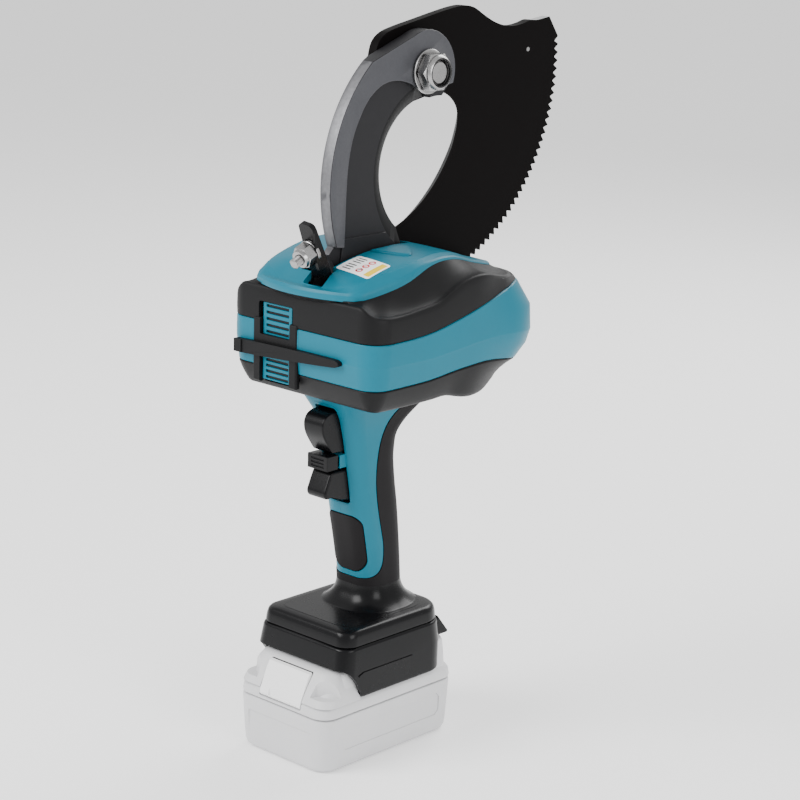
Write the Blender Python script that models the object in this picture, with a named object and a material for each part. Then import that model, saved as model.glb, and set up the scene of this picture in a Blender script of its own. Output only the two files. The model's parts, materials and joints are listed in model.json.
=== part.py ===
"""Battery ratchet cable cutter: a pistol-grip tool that stands on its battery.

Lengths are millimetres in this file and become metres where a mesh is made. The frame has +X to
the tool's right, +Y to its back, +Z up, and its origin under the middle of the battery.
The cutting plane is x = 0: the moving blade lies on its left, the fixed jaw on its right.
"""
import math

import bmesh
import bpy
from mathutils import Matrix, Vector

MM = 0.001
GAP = 0.3                        # clearance between two pieces that touch

# cutting head
PIVOT = (45.0, 402.0)            # y and z of the blade's pivot axis
BLADE_THICK = 6.0
JAW_THICK = 10.0
RAISED_STEP = 2.3                # how far the jaw's outer rim stands proud of its web
TOOTH_RADIUS = 130.6
TOOTH_DEPTH = 3.2
TOOTH_PITCH = 2.216              # degrees
FIRST_TOOTH = 5.7                # degrees above +Y
LAST_TOOTH = -97.0
BOLT_R = 7.0
RUNNING = 0.15                   # radial clearance of a shaft in its hole
MOUTH_CENTRE = (58.0, 344.0)     # the jaw's cutting edge is an arc about this point
MOUTH_R = 42.7

# head housing
HALF_WIDTH = 60.0
FRONT_Y = -46.0
REAR_Y = 112.0
FRONT_R = 14.0
REAR_R = 38.0
FLOOR_Z = 221.0
BELT_LOW_Z = 235.0
BELT_HIGH_Z = 261.0
SHELL_TOP_Z = 283.0
COVER_TOP_Z = 303.0
BAND_THICK = 2.3
VENT_X = (-31.0, -7.0)
WALL = 3.0

# drive line
MOTOR_X = -32.0
DRIVE_Z = 250.0
SHAFT_Y = 88.0
THROW = 2.5
PLATE_THICK = 3.0
RIGHT_PLATE_X = JAW_THICK + 2 * GAP
LEFT_PLATE_X = -BLADE_THICK - 2 * GAP - PLATE_THICK

# grip, base and battery
GRIP_WALL = 3.0
BASE_TOP_Z = 84.0
BASE_HALF = 38.5
BATTERY_HALF_X = 37.5
BATTERY_HALF_Y = 57.0
BATTERY_TOP_Z = 59.7
CELL_R = 9.1

# holes and pins that several pieces share, as (y, z)
FRONT_PIN = (-6.0, 262.0)
REAR_PIN = (20.0, 262.0)
HOLDING_PIN = (42.0, 256.0)
PIN_R = 3.0
SHAFT_R = 5.0
PLANET_ORBIT = 8.6
PLANET_PIN_R = 1.5
STUD_PLACE = (7.5, 13.0)         # x and height of the lever's stud on its plate

AXES = {"x": 0, "y": 1, "z": 2}


# ---------------------------------------------------------------- making pieces
def clear_scene():
    for thing in list(bpy.data.objects):
        bpy.data.objects.remove(thing, do_unlink=True)


def material(name, colour, roughness, metallic=0.0):
    made = bpy.data.materials.new(name)
    made.use_nodes = True
    shader = made.node_tree.nodes["Principled BSDF"]
    shader.inputs["Base Color"].default_value = (*colour, 1.0)
    shader.inputs["Roughness"].default_value = roughness
    shader.inputs["Metallic"].default_value = metallic
    return made


def lift(point, axis, height):
    """A flat point (u, v) set at a height along an axis; u and v keep the order x, y, z."""
    place = list(point)
    place.insert(AXES[axis], height)
    return Vector(place)


def loft(rings):
    """A closed skin over rings of points that all have the same count."""
    mesh = bmesh.new()
    rows = [[mesh.verts.new(point) for point in ring] for ring in rings]
    count = len(rows[0])
    for low, high in zip(rows, rows[1:]):
        for i in range(count):
            j = (i + 1) % count
            mesh.faces.new((low[i], low[j], high[j], high[i]))
    mesh.faces.new(rows[0])
    mesh.faces.new(rows[-1])
    bmesh.ops.recalc_face_normals(mesh, faces=mesh.faces)
    return mesh


def slab(outline, axis, low, high):
    return loft([[lift(p, axis, low) for p in outline], [lift(p, axis, high) for p in outline]])


def block(x, y, z):
    return slab([(x[0], y[0]), (x[1], y[0]), (x[1], y[1]), (x[0], y[1])], "z", z[0], z[1])


def circle(centre, radius, count=20):
    turn = 2 * math.pi / count
    angles = [i * turn for i in range(count)]
    return [(centre[0] + radius * math.cos(a), centre[1] + radius * math.sin(a)) for a in angles]


def arc(centre, radius, begin, end, count):
    """Points from one angle to another, in degrees, both ends included."""
    angles = [math.radians(begin + (end - begin) * i / (count - 1)) for i in range(count)]
    return [(centre[0] + radius * math.cos(a), centre[1] + radius * math.sin(a)) for a in angles]


def rod(axis, centre, radius, low, high, count=20):
    return slab(circle(centre, radius, count), axis, low, high)


def turned(axis, centre, profile, count=20):
    """A solid of revolution from (height, radius) pairs."""
    return loft([[lift(p, axis, height) for p in circle(centre, radius, count)]
                 for height, radius in profile])


def toothed(centre, root, tip, teeth):
    """A gear's outline with one point at each root and one at each tip."""
    turn = math.pi / teeth
    points = []
    for i in range(2 * teeth):
        radius = tip if i % 2 else root
        angle = i * turn
        points.append((centre[0] + radius * math.cos(angle), centre[1] + radius * math.sin(angle)))
    return points


def rounded(x, y, radii, steps=3):
    """A rectangle with rounded corners: radii for the front pair and the rear pair."""
    front, rear = radii
    corners = [(x[1] - rear, y[1] - rear, rear, 0), (x[0] + rear, y[1] - rear, rear, 90),
               (x[0] + front, y[0] + front, front, 180), (x[1] - front, y[0] + front, front, 270)]
    points = []
    for cx, cy, radius, begin in corners:
        points += arc((cx, cy), radius, begin, begin + 90, steps + 1)
    return points


def piece(name, mesh, finish, pivot=(0, 0, 0), smooth=30):
    """Make the named object, with its origin on its joint's axis."""
    bmesh.ops.translate(mesh, verts=mesh.verts, vec=-Vector(pivot))
    bmesh.ops.scale(mesh, verts=mesh.verts, vec=(MM, MM, MM))
    data = bpy.data.meshes.new(name)
    mesh.to_mesh(data)
    mesh.free()
    data.materials.append(finish)
    if smooth:
        data.shade_smooth()
        data.set_sharp_from_angle(angle=math.radians(smooth))
    made = bpy.data.objects.new(name, data)
    made.location = Vector(pivot) * MM
    bpy.context.scene.collection.objects.link(made)
    return made


def shape(made, mesh, operation="DIFFERENCE"):
    """Cut a mesh from an object, or join it on, with a hidden helper."""
    name = f"{made.name}_{operation.lower()}_{len(made.modifiers)}"
    helper = piece(name, mesh, made.data.materials[0], smooth=None)
    helper.hide_render = True
    helper.display_type = "WIRE"
    step = made.modifiers.new(operation.lower(), "BOOLEAN")
    step.operation = operation
    step.solver = "EXACT"
    step.object = helper


def union(made, mesh):
    shape(made, mesh, "UNION")


def tube(name, axis, centre, radii, span, finish, count=20):
    inner, outer = radii
    made = piece(name, rod(axis, centre, outer, *span, count), finish)
    shape(made, rod(axis, centre, inner, span[0] - 1, span[1] + 1, count))
    return made


def coil(name, axis, centre, radius, wire, span, turns, finish):
    """A compression spring: a square-section wire along a helix, closed at both ends."""
    steps = turns * 8
    rings = []
    for i in range(steps + 1):
        angle = 2 * math.pi * turns * i / steps
        height = span[0] + wire + (span[1] - span[0] - 2 * wire) * i / steps
        out = (math.cos(angle), math.sin(angle))
        ring = []
        for r, h in ((-wire, 0), (0, -wire), (wire, 0), (0, wire)):
            place = (centre[0] + (radius + r) * out[0], centre[1] + (radius + r) * out[1])
            ring.append(lift(place, axis, height + h))
        rings.append(ring)
    piece(name, loft(rings), finish)


# ---------------------------------------------------------------- cutting head
def polar(degrees, radius):
    angle = math.radians(degrees)
    return (PIVOT[0] + radius * math.cos(angle), PIVOT[1] + radius * math.sin(angle))


def blade_teeth():
    """Ratchet teeth down the blade's back, steep on the side that the pawl pushes."""
    count = int((FIRST_TOOTH - LAST_TOOTH) / TOOTH_PITCH)
    points = []
    for i in range(count):
        top = FIRST_TOOTH - i * TOOTH_PITCH
        points.append(polar(top, TOOTH_RADIUS))
        points.append(polar(top - 0.55 * TOOTH_PITCH, TOOTH_RADIUS - TOOTH_DEPTH))
    return points


def blade_outline():
    top = [(12, 415), (16, 422), (23, 425.5), (50, 431), (78, 436), (87, 437), (96, 435), (104, 431),
           (115, 426), (129, 423), (146, 425), (166, 427)]
    edge = arc((2.6, 392.7), 87.3, -80, -24.8, 9)
    lobe = arc((63.5, 366.5), 21, -12, 80, 5)
    root = [(56, 386.5), (44, 384), (32, 382), (20, 388), (11, 400)]
    return top + blade_teeth() + edge + lobe + root


def jaw_outline():
    tang = [(30, 250), (-18, 250), (-24, 292), (-32, 304)]
    rim = arc((60, 340), 93, 201, 131, 7)
    head = arc(PIVOT, 24, 118, -20, 7)
    mouth = arc(MOUTH_CENTRE, MOUTH_R, 86, 230, 11)
    return tang + rim + head + mouth


def raised_outline():
    outer = arc((60, 340), 93, 197, 131, 7)
    head = arc(PIVOT, 24, 118, -20, 7)
    inner = [(43, 390), (31, 394), (18, 398), (6, 396), (-3, 389), (-11, 378), (-18, 363), (-20, 350),
             (-22, 334)]
    return outer + head + inner


def cutting_head(steel, black_steel, bright):
    jaw = piece("fixed_jaw", slab(jaw_outline(), "x", GAP, JAW_THICK - RAISED_STEP + GAP), steel)
    union(jaw, slab(raised_outline(), "x", JAW_THICK - RAISED_STEP - 1, JAW_THICK + GAP))
    bevel = [[lift(p, "x", x) for p in arc(MOUTH_CENTRE, r, 103, 236, 9) + [MOUTH_CENTRE]]
             for x, r in ((1.3, MOUTH_R - 0.5), (JAW_THICK - RAISED_STEP + GAP + 0.05, 55.0))]
    shape(jaw, loft(bevel))
    shape(jaw, rod("x", PIVOT, BOLT_R + RUNNING, -1, 12))
    for centre in (FRONT_PIN, REAR_PIN):
        shape(jaw, rod("x", centre, PIN_R + RUNNING, -1, 12, 12))

    pivot = (0, *PIVOT)
    blade = piece("moving_blade", slab(blade_outline(), "x", -BLADE_THICK, 0), black_steel, pivot)
    shape(blade, rod("x", PIVOT, BOLT_R + RUNNING, -8, 2))

    bolt = piece("pivot_bolt", rod("x", PIVOT, BOLT_R, -BLADE_THICK - 1, 22), bright)
    union(bolt, slab(circle(PIVOT, 12, 6), "x", -BLADE_THICK - 6.5, -BLADE_THICK - GAP))
    tube("pivot_washer", "x", PIVOT, (BOLT_R + GAP, 13), (JAW_THICK + 2 * GAP, JAW_THICK + 2.3), bright, 24)
    nut = piece("pivot_nut", slab(circle(PIVOT, 12, 6), "x", JAW_THICK + 2.6, JAW_THICK + 9), bright)
    union(nut, turned("x", PIVOT, [(JAW_THICK + 8, 10), (JAW_THICK + 10, 10), (JAW_THICK + 11, 8.6)], 18))
    shape(nut, rod("x", PIVOT, BOLT_R + GAP, 8, 24))


def jaw_mounting(plate_steel, bright):
    """Two steel side plates carry the jaw's tang, the pawls and the eccentric shaft."""
    outline = [(-28, 232), (100, 232), (100, 264), (78, 290), (-28, 290)]
    for name, low in (("frame_plate_right", RIGHT_PLATE_X), ("frame_plate_left", LEFT_PLATE_X)):
        plate = piece(name, slab(outline, "x", low, low + PLATE_THICK), plate_steel)
        for centre in (FRONT_PIN, REAR_PIN, HOLDING_PIN):
            shape(plate, rod("x", centre, PIN_R + RUNNING, low - 1, low + 4, 12))
        shape(plate, rod("x", (SHAFT_Y, DRIVE_Z), 8 + GAP, low - 1, low + 4))
    span = (LEFT_PLATE_X - 1.5, RIGHT_PLATE_X + 4.5)
    for name, centre in (("jaw_pin_front", FRONT_PIN), ("jaw_pin_rear", REAR_PIN),
                         ("holding_pawl_pin", HOLDING_PIN)):
        piece(name, rod("x", centre, PIN_R, *span, 12), bright)


def release_lever(black_steel, bright):
    """A tilting plate ahead of the jaw, with a stud, washer and nut as its stop."""
    foot = (7, -37, 296)
    lean = Matrix.Translation((0, foot[1], foot[2])) @ Matrix.Rotation(math.radians(24), 4, "X")

    def leaning(mesh):
        bmesh.ops.transform(mesh, matrix=lean, verts=mesh.verts)
        return mesh

    def bored(made, low, high):
        shape(made, leaning(rod("y", STUD_PLACE, PIN_R + GAP, low, high, 12)))

    plate = piece("release_lever", leaning(block((1, 14), (-1.6, 1.6), (-6, 30))), black_steel, foot)
    bored(plate, -3, 3)
    piece("lever_stud", leaning(rod("y", STUD_PLACE, PIN_R, -24, 3.4, 12)), bright, foot)
    washer = piece("lever_washer", leaning(rod("y", STUD_PLACE, 7.2, -4, -1.9, 16)), bright, foot)
    bored(washer, -5, 0)
    nut = piece("lever_nut", leaning(slab(circle(STUD_PLACE, 7, 6), "y", -12, -4.3)), bright, foot)
    bored(nut, -13, -3)


# ---------------------------------------------------------------- drive line
def pawls(steel, spring_steel):
    middle = (-BLADE_THICK + GAP, -GAP)
    eccentric = (SHAFT_Y, DRIVE_Z + THROW)
    tip = polar(-79.5, TOOTH_RADIUS + 0.5)
    arm = [(tip[0] - 0.5, tip[1]), (tip[0] + 3.5, tip[1] - 0.4), (92, 263), (78, 247),
           (tip[0] - 2.5, tip[1] - 5)]
    pawl = piece("drive_pawl", rod("x", eccentric, 12.3, *middle, 20), steel, (0, *eccentric))
    union(pawl, slab(arm, "x", *middle))
    shape(pawl, rod("x", eccentric, 9 + GAP, -8, 2))

    tip = polar(-98.5, TOOTH_RADIUS + 0.8)
    arm = [(tip[0] - 1.5, tip[1] - 0.3), (tip[0] + 2, tip[1]), (46, 260), (37, 251),
           (tip[0] + 0.2, tip[1] - 6.5)]
    holder = piece("holding_pawl", rod("x", HOLDING_PIN, 6.5, *middle, 16), steel, (0, *HOLDING_PIN))
    union(holder, slab(arm, "x", *middle))
    shape(holder, rod("x", HOLDING_PIN, PIN_R + RUNNING, -8, 2, 12))
    coil("holding_pawl_spring", "z", (-3, 26), 2.1, 0.45, (234, 259.5), 5, spring_steel)


def eccentric_shaft(steel, bearing_steel):
    centre = (SHAFT_Y, DRIVE_Z)
    shaft = piece("eccentric_shaft", rod("x", centre, SHAFT_R, -29, 17), steel, (0, *centre))
    union(shaft, rod("x", (SHAFT_Y, DRIVE_Z + THROW), 9, -BLADE_THICK + GAP, -GAP))
    for name, low in (("shaft_bearing_right", RIGHT_PLATE_X), ("shaft_bearing_left", LEFT_PLATE_X)):
        tube(name, "x", centre, (SHAFT_R + RUNNING, 8), (low, low + PLATE_THICK), bearing_steel)
    rings = [[lift(p, "x", x) for p in toothed(centre, r - 0.9, r, 24)]
             for x, r in ((-27.4, 10.0), (-25, 15.2), (-20, 15.2))]
    gear = piece("bevel_gear", loft(rings), steel, (0, *centre))
    shape(gear, rod("x", centre, SHAFT_R + RUNNING, -30, -15))


def gearbox(steel, plastic):
    centre = (MOTOR_X, DRIVE_Z)
    case = tube("gearbox_case", "y", centre, (17, 19), (29.6, 56), plastic, 24)
    union(case, rod("y", centre, 18.5, 54, 58, 24))
    shape(case, rod("y", centre, 4 + GAP, 50, 60))
    ring = piece("ring_gear", rod("y", centre, 16.7, 32, 46, 24), steel)
    shape(ring, slab(toothed(centre, 14.2, 13.3, 36), "y", 31, 47))
    angles = [math.radians(90 + 120 * i) for i in range(3)]
    pins = [(centre[0] + PLANET_ORBIT * math.cos(a), centre[1] + PLANET_ORBIT * math.sin(a)) for a in angles]
    for i, pin in enumerate(pins, 1):
        wheel = slab(toothed(pin, 3.7, 4.3, 12), "y", 33, 45.5)
        planet = piece(f"planet_gear_{i}", wheel, steel, (pin[0], 39, pin[1]))
        shape(planet, rod("y", pin, PLANET_PIN_R + RUNNING, 32, 47, 10))
    carrier = piece("planet_carrier", rod("y", centre, 12.5, 46.4, 50), steel, (centre[0], 48, centre[1]))
    for pin in pins:
        union(carrier, rod("y", pin, PLANET_PIN_R, 33.5, 47, 10))
    union(carrier, rod("y", centre, 4, 49, 79, 16))
    rings = [[lift(p, "y", y) for p in toothed(centre, r - 0.8, r, 10)]
             for y, r in ((66, 6.2), (72, 6.2), (76.5, 5.2))]
    pinion = piece("bevel_pinion", loft(rings), steel, (centre[0], 70, centre[1]))
    shape(pinion, rod("y", centre, 4 + RUNNING, 60, 80, 16))


def motor(steel, copper, plastic):
    centre = (MOTOR_X, DRIVE_Z)
    tube("motor_can", "y", centre, (16, 18), (-26, 26), steel, 24)
    tube("motor_end_bell", "y", centre, (3, 18), (26.3, 29.3), plastic, 24)
    rotor = piece("motor_rotor", rod("y", centre, 15.2, -22, 22, 18), copper, (centre[0], 0, centre[1]))
    union(rotor, rod("y", centre, 2.5, -37.5, 45.5, 12))
    wheel = slab(toothed(centre, 3.4, 4.0, 12), "y", 33, 45)
    sun = piece("sun_gear", wheel, steel, (centre[0], 39, centre[1]))
    shape(sun, rod("y", centre, 2.5 + RUNNING, 30, 48, 12))
    blades = slab(toothed(centre, 8.5, 14.8, 9), "y", -37, -30)
    fan = piece("motor_fan", blades, plastic, (centre[0], -34, centre[1]))
    shape(fan, rod("y", centre, 2.5 + RUNNING, -40, -28, 12))


# ---------------------------------------------------------------- housing
def plan(inset):
    return rounded((-HALF_WIDTH + inset, HALF_WIDTH - inset), (FRONT_Y + inset, REAR_Y - inset),
                   (FRONT_R - inset / 2, REAR_R - inset), 4)


def stack(levels):
    """A loft of the housing's plan at (height, inset) levels."""
    return loft([[lift(p, "z", z) for p in plan(inset)] for z, inset in levels])


# the grip at each height: front y, rear y and half width
GRIP = {92: (0.5, 35.5, 17.0), 107: (-0.8, 34.4, 17.0), 127: (-4.5, 32.7, 16.8), 147: (-9.0, 30.6, 16.5),
        162: (-11.5, 28.4, 16.3), 181: (-15.0, 27.0, 16.6), 192: (-17.0, 29.5, 17.0),
        199: (-18.5, 36.0, 17.8), 206: (-20.5, 45.0, 19.5), 214: (-25.0, 55.0, 22.0),
        227: (-31.0, 64.0, 26.0)}


def grip_section(z):
    """Front y, rear y and half width of the grip at any height."""
    heights = list(GRIP)
    z = min(max(z, heights[0]), heights[-1])
    for low, high in zip(heights, heights[1:]):
        if low <= z <= high:
            t = (z - low) / (high - low)
            return [a + t * (b - a) for a, b in zip(GRIP[low], GRIP[high])]


def grip(inset, begin=92, end=227):
    """The grip's body between two heights."""
    heights = [begin] + [z for z in GRIP if begin < z < end] + [end]
    rings = []
    for z in heights:
        front, rear, half = grip_section(z)
        outline = rounded((-half + inset, half - inset), (front + inset, rear - inset),
                          (10 - inset, 14 - inset), 3)
        rings.append([lift(p, "z", z) for p in outline])
    return loft(rings)


def grip_split(margin):
    """The curve between the coloured front of the grip and its rubber back."""
    line = [(14, 203), (6, 184), (3.5, 171), (5, 153), (9, 128), (11, 108), (10, 92)]
    return [(y + margin, z) for y, z in line]


def housing_half(name, side, teal):
    """One half of the clamshell: the head's shell and the front of the grip."""
    shell = piece(name, stack([(FLOOR_Z + 3, 6), (FLOOR_Z + 5.5, BAND_THICK + GAP),
                               (BELT_LOW_Z, BAND_THICK + GAP), (BELT_LOW_Z + 0.4, 0.4),
                               (248, 0), (BELT_HIGH_Z - 0.4, 0.4), (BELT_HIGH_Z, BAND_THICK + GAP),
                               (270, 3.0), (SHELL_TOP_Z, 6)]), teal)
    union(shell, grip(0))
    shape(shell, stack([(FLOOR_Z + 8, 9), (265, 7), (SHELL_TOP_Z + 2, 9.5)]))
    shape(shell, grip(GRIP_WALL, 96))
    back = [(80, 80), (10, 80)] + grip_split(-GAP)[::-1] + [(40, 208.6), (90, 217)]
    shape(shell, slab(back, "x", -30, 30))
    shape(shell, block((-8.8, 8.8), (-40, 0), (151, 212)))
    shape(shell, palm_blank(GAP))
    for low, high in ((226, 245), (252.5, 271.5)):
        shape(shell, block((VENT_X[0] + 0.7, VENT_X[1] - 0.7), (-60, -30), (low, high)))
    edge = -GAP / 2 * side
    far = -side * 90
    shape(shell, block(sorted((edge + side * GAP, far)), (-90, 150), (60, 320)))


def palm_blank(margin):
    """The pad's outline seen from the front, thick enough to pass through the grip's wall."""
    outline = rounded((-13 - margin, 13 + margin), (112 - margin, 151 + margin), (8, 5), 3)
    return slab(outline, "y", -30, 8)


def palm_pad(rubber):
    pad = piece("palm_pad", grip(-0.6, 108, 156), rubber)
    shape(pad, palm_blank(0), "INTERSECT")
    shape(pad, grip(GRIP_WALL + GAP, 100, 162))


def rear_grip(rubber):
    cover = piece("rear_grip_cover", grip(0, 92, 214), rubber)
    top_line = [(40, 208), (90, 216.4), (90, 230), (-60, 230)]
    front = [(-60, 80), (10, 80)] + grip_split(GAP)[::-1] + top_line
    shape(cover, slab(front, "x", -40, 40))
    shape(cover, grip(GRIP_WALL, 86, 216))


def bands(black):
    lower = piece("lower_band", stack([(FLOOR_Z - 1, 7), (FLOOR_Z + 2, 2), (FLOOR_Z + 5, 0),
                                       (BELT_LOW_Z - GAP, 0)]), black)
    belly = [(24, 232), (30, 218), (42, 211.5), (60, 210.5), (76, 214), (90, 222), (96, 232)]
    union(lower, slab(belly, "x", -46, 46))
    shape(lower, stack([(FLOOR_Z + 2.7, 6 - GAP), (FLOOR_Z + 5.2, BAND_THICK),
                        (BELT_LOW_Z + 2, BAND_THICK)]))
    shape(lower, grip(-GAP, 206))
    shape(lower, block(VENT_X, (-60, -40), (225, 240)))

    upper = piece("upper_band", stack([(BELT_HIGH_Z + GAP, 0), (272, 0.3), (281, 2.2), (287, 6),
                                       (290, 12)]), black)
    shape(upper, slab(cover_plan(GAP), "z", SHELL_TOP_Z - 8, 310))
    shape(upper, stack([(BELT_HIGH_Z - 2, BAND_THICK), (270, 2.6), (SHELL_TOP_Z + GAP, 5.4),
                        (SHELL_TOP_Z + 1.2, 14)]))
    shape(upper, block(VENT_X, (-60, -40), (251, 273)))


def cover_plan(margin):
    """The top cover's plan: wide at the front, drawn in towards the back."""
    half = [(44, -47), (48, -35), (49, -15), (46, 8), (40, 30), (33, 62), (28, 88), (22, 113)]
    right = [(x + margin, y) for x, y in half]
    return right + [(-x, y) for x, y in reversed(right)]


def cover_skin(levels):
    """A loft of the cover's plan at (height, side, front and rear inset) levels."""
    rings = []
    for z, shrink, front, rear in levels:
        ring = []
        for x, y in cover_plan(0):
            y_held = max(FRONT_Y + front, min(REAR_Y - rear, y))
            ring.append(lift((x - math.copysign(shrink, x), y_held), "z", z))
        rings.append(ring)
    return loft(rings)


def top_cover(teal):
    outside = [(SHELL_TOP_Z + GAP, 0, 1.4, 3.5), (291, 2, 5, 4.5), (299, 6, 14, 8), (COVER_TOP_Z, 13, 24, 16)]
    inside = [(SHELL_TOP_Z - 1, 3, 5, 7), (291, 5, 9, 8), (297, 9, 17, 12), (300, 16, 27, 19)]
    cover = piece("top_cover", cover_skin(outside), teal)
    shape(cover, cover_skin(inside))
    above = (270, 320)
    shape(cover, block((-BLADE_THICK - 1.2, JAW_THICK + 1.2), (-37.5, 33), above))
    shape(cover, block((-BLADE_THICK - 1.2, 1.2), (30, 130), above))
    shape(cover, block((0, 15), (-44, -30), (288, 320)))


def head_trim(teal, black):
    for name, low, bars in (("vent_grille_upper", 253, 5), ("vent_grille_lower", 226.5, 5)):
        high = low + 18
        grille = piece(name, block((-30, -8), (-44.3, -41.8), (low, high)), teal)
        step = (high - low) / bars
        for i in range(bars - 1):
            z = low + step * (i + 1)
            shape(grille, block((-28, -10), (-47, -39), (z - 0.9, z + 0.9)))
    bar = [(-50, 241), (-42, 240.5), (33, 243.5), (38, 245.5), (38, 248), (33, 250), (-42, 247.5), (-50, 247)]
    piece("front_bar", slab(bar, "y", FRONT_Y - 3.2, FRONT_Y - GAP), black)


# ---------------------------------------------------------------- grip controls
def controls(black, plastic, spring_steel, board):
    upper = [(-8, 209), (-26, 209.5), (-32, 206), (-33, 199), (-25, 184.5), (-8, 184.5)]
    lower = [(-8, 173), (-24.5, 173), (-30, 161), (-28, 157), (-8, 153)]
    for name, outline in (("upper_trigger", upper), ("lower_trigger", lower)):
        trigger = piece(name, slab(outline, "x", -8, 8), black)
        corner = trigger.modifiers.new("corners", "BEVEL")
        corner.width = 1.4 * MM
        corner.segments = 1
    lock = piece("lock_slider", block((-8.2, 8.2), (-29, -15.3), (174.4, 183.2)), black)
    union(lock, block((-4.6, 4.6), (-16, -8), (176.5, 181)))
    union(lock, block((-8, 8), (-9.5, -6), (176.5, 181)))
    body = piece("switch_body", block((-10, 10), (2.2, 20), (150, 212)), plastic)
    union(body, block((-6, 6), (19, 24), (186, 208)))
    coil("upper_trigger_spring", "y", (0, 197), 3.4, 0.5, (-7.6, 1.9), 4, spring_steel)
    coil("lower_trigger_spring", "y", (0, 163), 3.4, 0.5, (-7.6, 1.9), 4, spring_steel)
    piece("control_board", block((-11, 11), (5, 26), (98, 101)), board)


# ---------------------------------------------------------------- base
def base_skin(levels):
    """A loft of the base's plan at (height, inset) levels."""
    rings = []
    for z, inset in levels:
        outline = rounded((-BASE_HALF + inset, BASE_HALF - inset), (-42 + inset, 49 - inset), (9, 16), 3)
        rings.append([lift(p, "z", z) for p in outline])
    return loft(rings)


def collar():
    """The foot of the grip, spreading out onto the base."""
    rings = []
    for z, grow in ((83, 9.5), (86, 7.5), (90, 3.4), (95, 0.9), (99, 0.1)):
        front, rear, half = grip_section(z)
        outline = rounded((-half - grow, half + grow), (front - grow, rear + grow), (10 + grow, 14 + grow), 3)
        rings.append([lift(p, "z", z) for p in outline])
    return loft(rings)


def cable_way(inset):
    """The way through the base for the wires, inside the foot of the grip."""
    front, rear, half = grip_section(92)
    outline = rounded((-half + inset, half - inset), (front + inset, rear - inset), (6, 8), 2)
    return slab(outline, "z", 60, 110)


def base(gloss):
    top = piece("base_top", base_skin([(74.3, 1.0), (80.5, 1.2), (BASE_TOP_Z, 3.5)]), gloss)
    union(top, collar())
    shape(top, grip(-GAP, 91.7, 107))
    shape(top, cable_way(3.5))
    skirt = piece("base_skirt", base_skin([(43, 0), (62, 0), (74, 0.3)]), gloss)
    front_cut = [(-60, 30), (-26, 30), (-28, 43), (-35, 58), (-39, 60.3), (-60, 60.3)]
    shape(skirt, slab(front_cut, "x", -50, 50))
    shape(skirt, block((-36, 36), (-60, 60), (30, 60.2)))
    shape(skirt, block((-33, 33), (-38.5, 44), (59, 71.5)))
    shape(skirt, cable_way(6))
    union(skirt, slab([(48, 73), (56, 60.3), (44, 60.3)], "x", -30, 30))
    terminal = piece("terminal_block", block((-14, 14), (-10, 30), (61, 66)), gloss)
    union(terminal, block((-7.5, 7.5), (-6, 40), (51, 62)))


# ---------------------------------------------------------------- battery
def battery_skin(levels):
    """A loft of the battery's plan at (height, inset, extra front inset) levels."""
    rings = []
    for z, inset, front in levels:
        outline = rounded((-BATTERY_HALF_X + inset, BATTERY_HALF_X - inset),
                          (-BATTERY_HALF_Y + inset + front, BATTERY_HALF_Y - inset), (10, 10), 3)
        rings.append([lift(p, "z", z) for p in outline])
    return loft(rings)


def battery(pale, white, cell, spring_steel, board):
    case = piece("battery_case", battery_skin([(0, 4, 0), (2.5, 2.2, 0), (12, 1.2, 0), (34, 0, 0)]), pale)
    shape(case, battery_skin([(2.5, 5, 0), (36, 3, 0)]))
    cover = piece("battery_cover", battery_skin([(34.3, 0, 0), (40, 0.6, 0), (42, 2.2, 1.5), (50, 2.6, 6),
                                                 (BATTERY_TOP_Z, 4, 12)]), pale)
    shape(cover, battery_skin([(33, 3, 0), (39, 3.6, 0), (47, 5.2, 6), (50, 6, 12)]))
    shape(cover, block((-9, 9), (-9, 70), (49.5, 62)))
    shape(cover, block((-17.3, 17.3), (-70, -43), (36.7, 57.8)))
    button = [(-56, 37), (-57, 39), (-50, 55), (-48, 57.5), (-47, 57.5), (-47, 37)]
    piece("release_button", slab(button, "x", -17, 17), white)
    coil("release_button_spring", "y", (0, 45), 2.6, 0.45, (-46.7, -38), 4, spring_steel)
    for name, low in (("cell_row_lower", 4.2), ("cell_row_upper", 23.0)):
        piece(name, cell_row(low + CELL_R), cell)
    piece("battery_board", block((-28, 28), (-30, 40), (43, 44.4)), board)


def cell_row(z):
    """Five cells side by side, joined by their holder's web."""
    pitch = 2 * CELL_R + GAP
    upper = []
    lower = []
    for i in range(5):
        y = 3.5 + (i - 2) * pitch
        upper += arc((y, z), CELL_R, 160, 20, 5)
        lower += arc((y, z), CELL_R, -160, -20, 5)
    return slab(upper + lower[::-1], "x", -30, 30)


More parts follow.
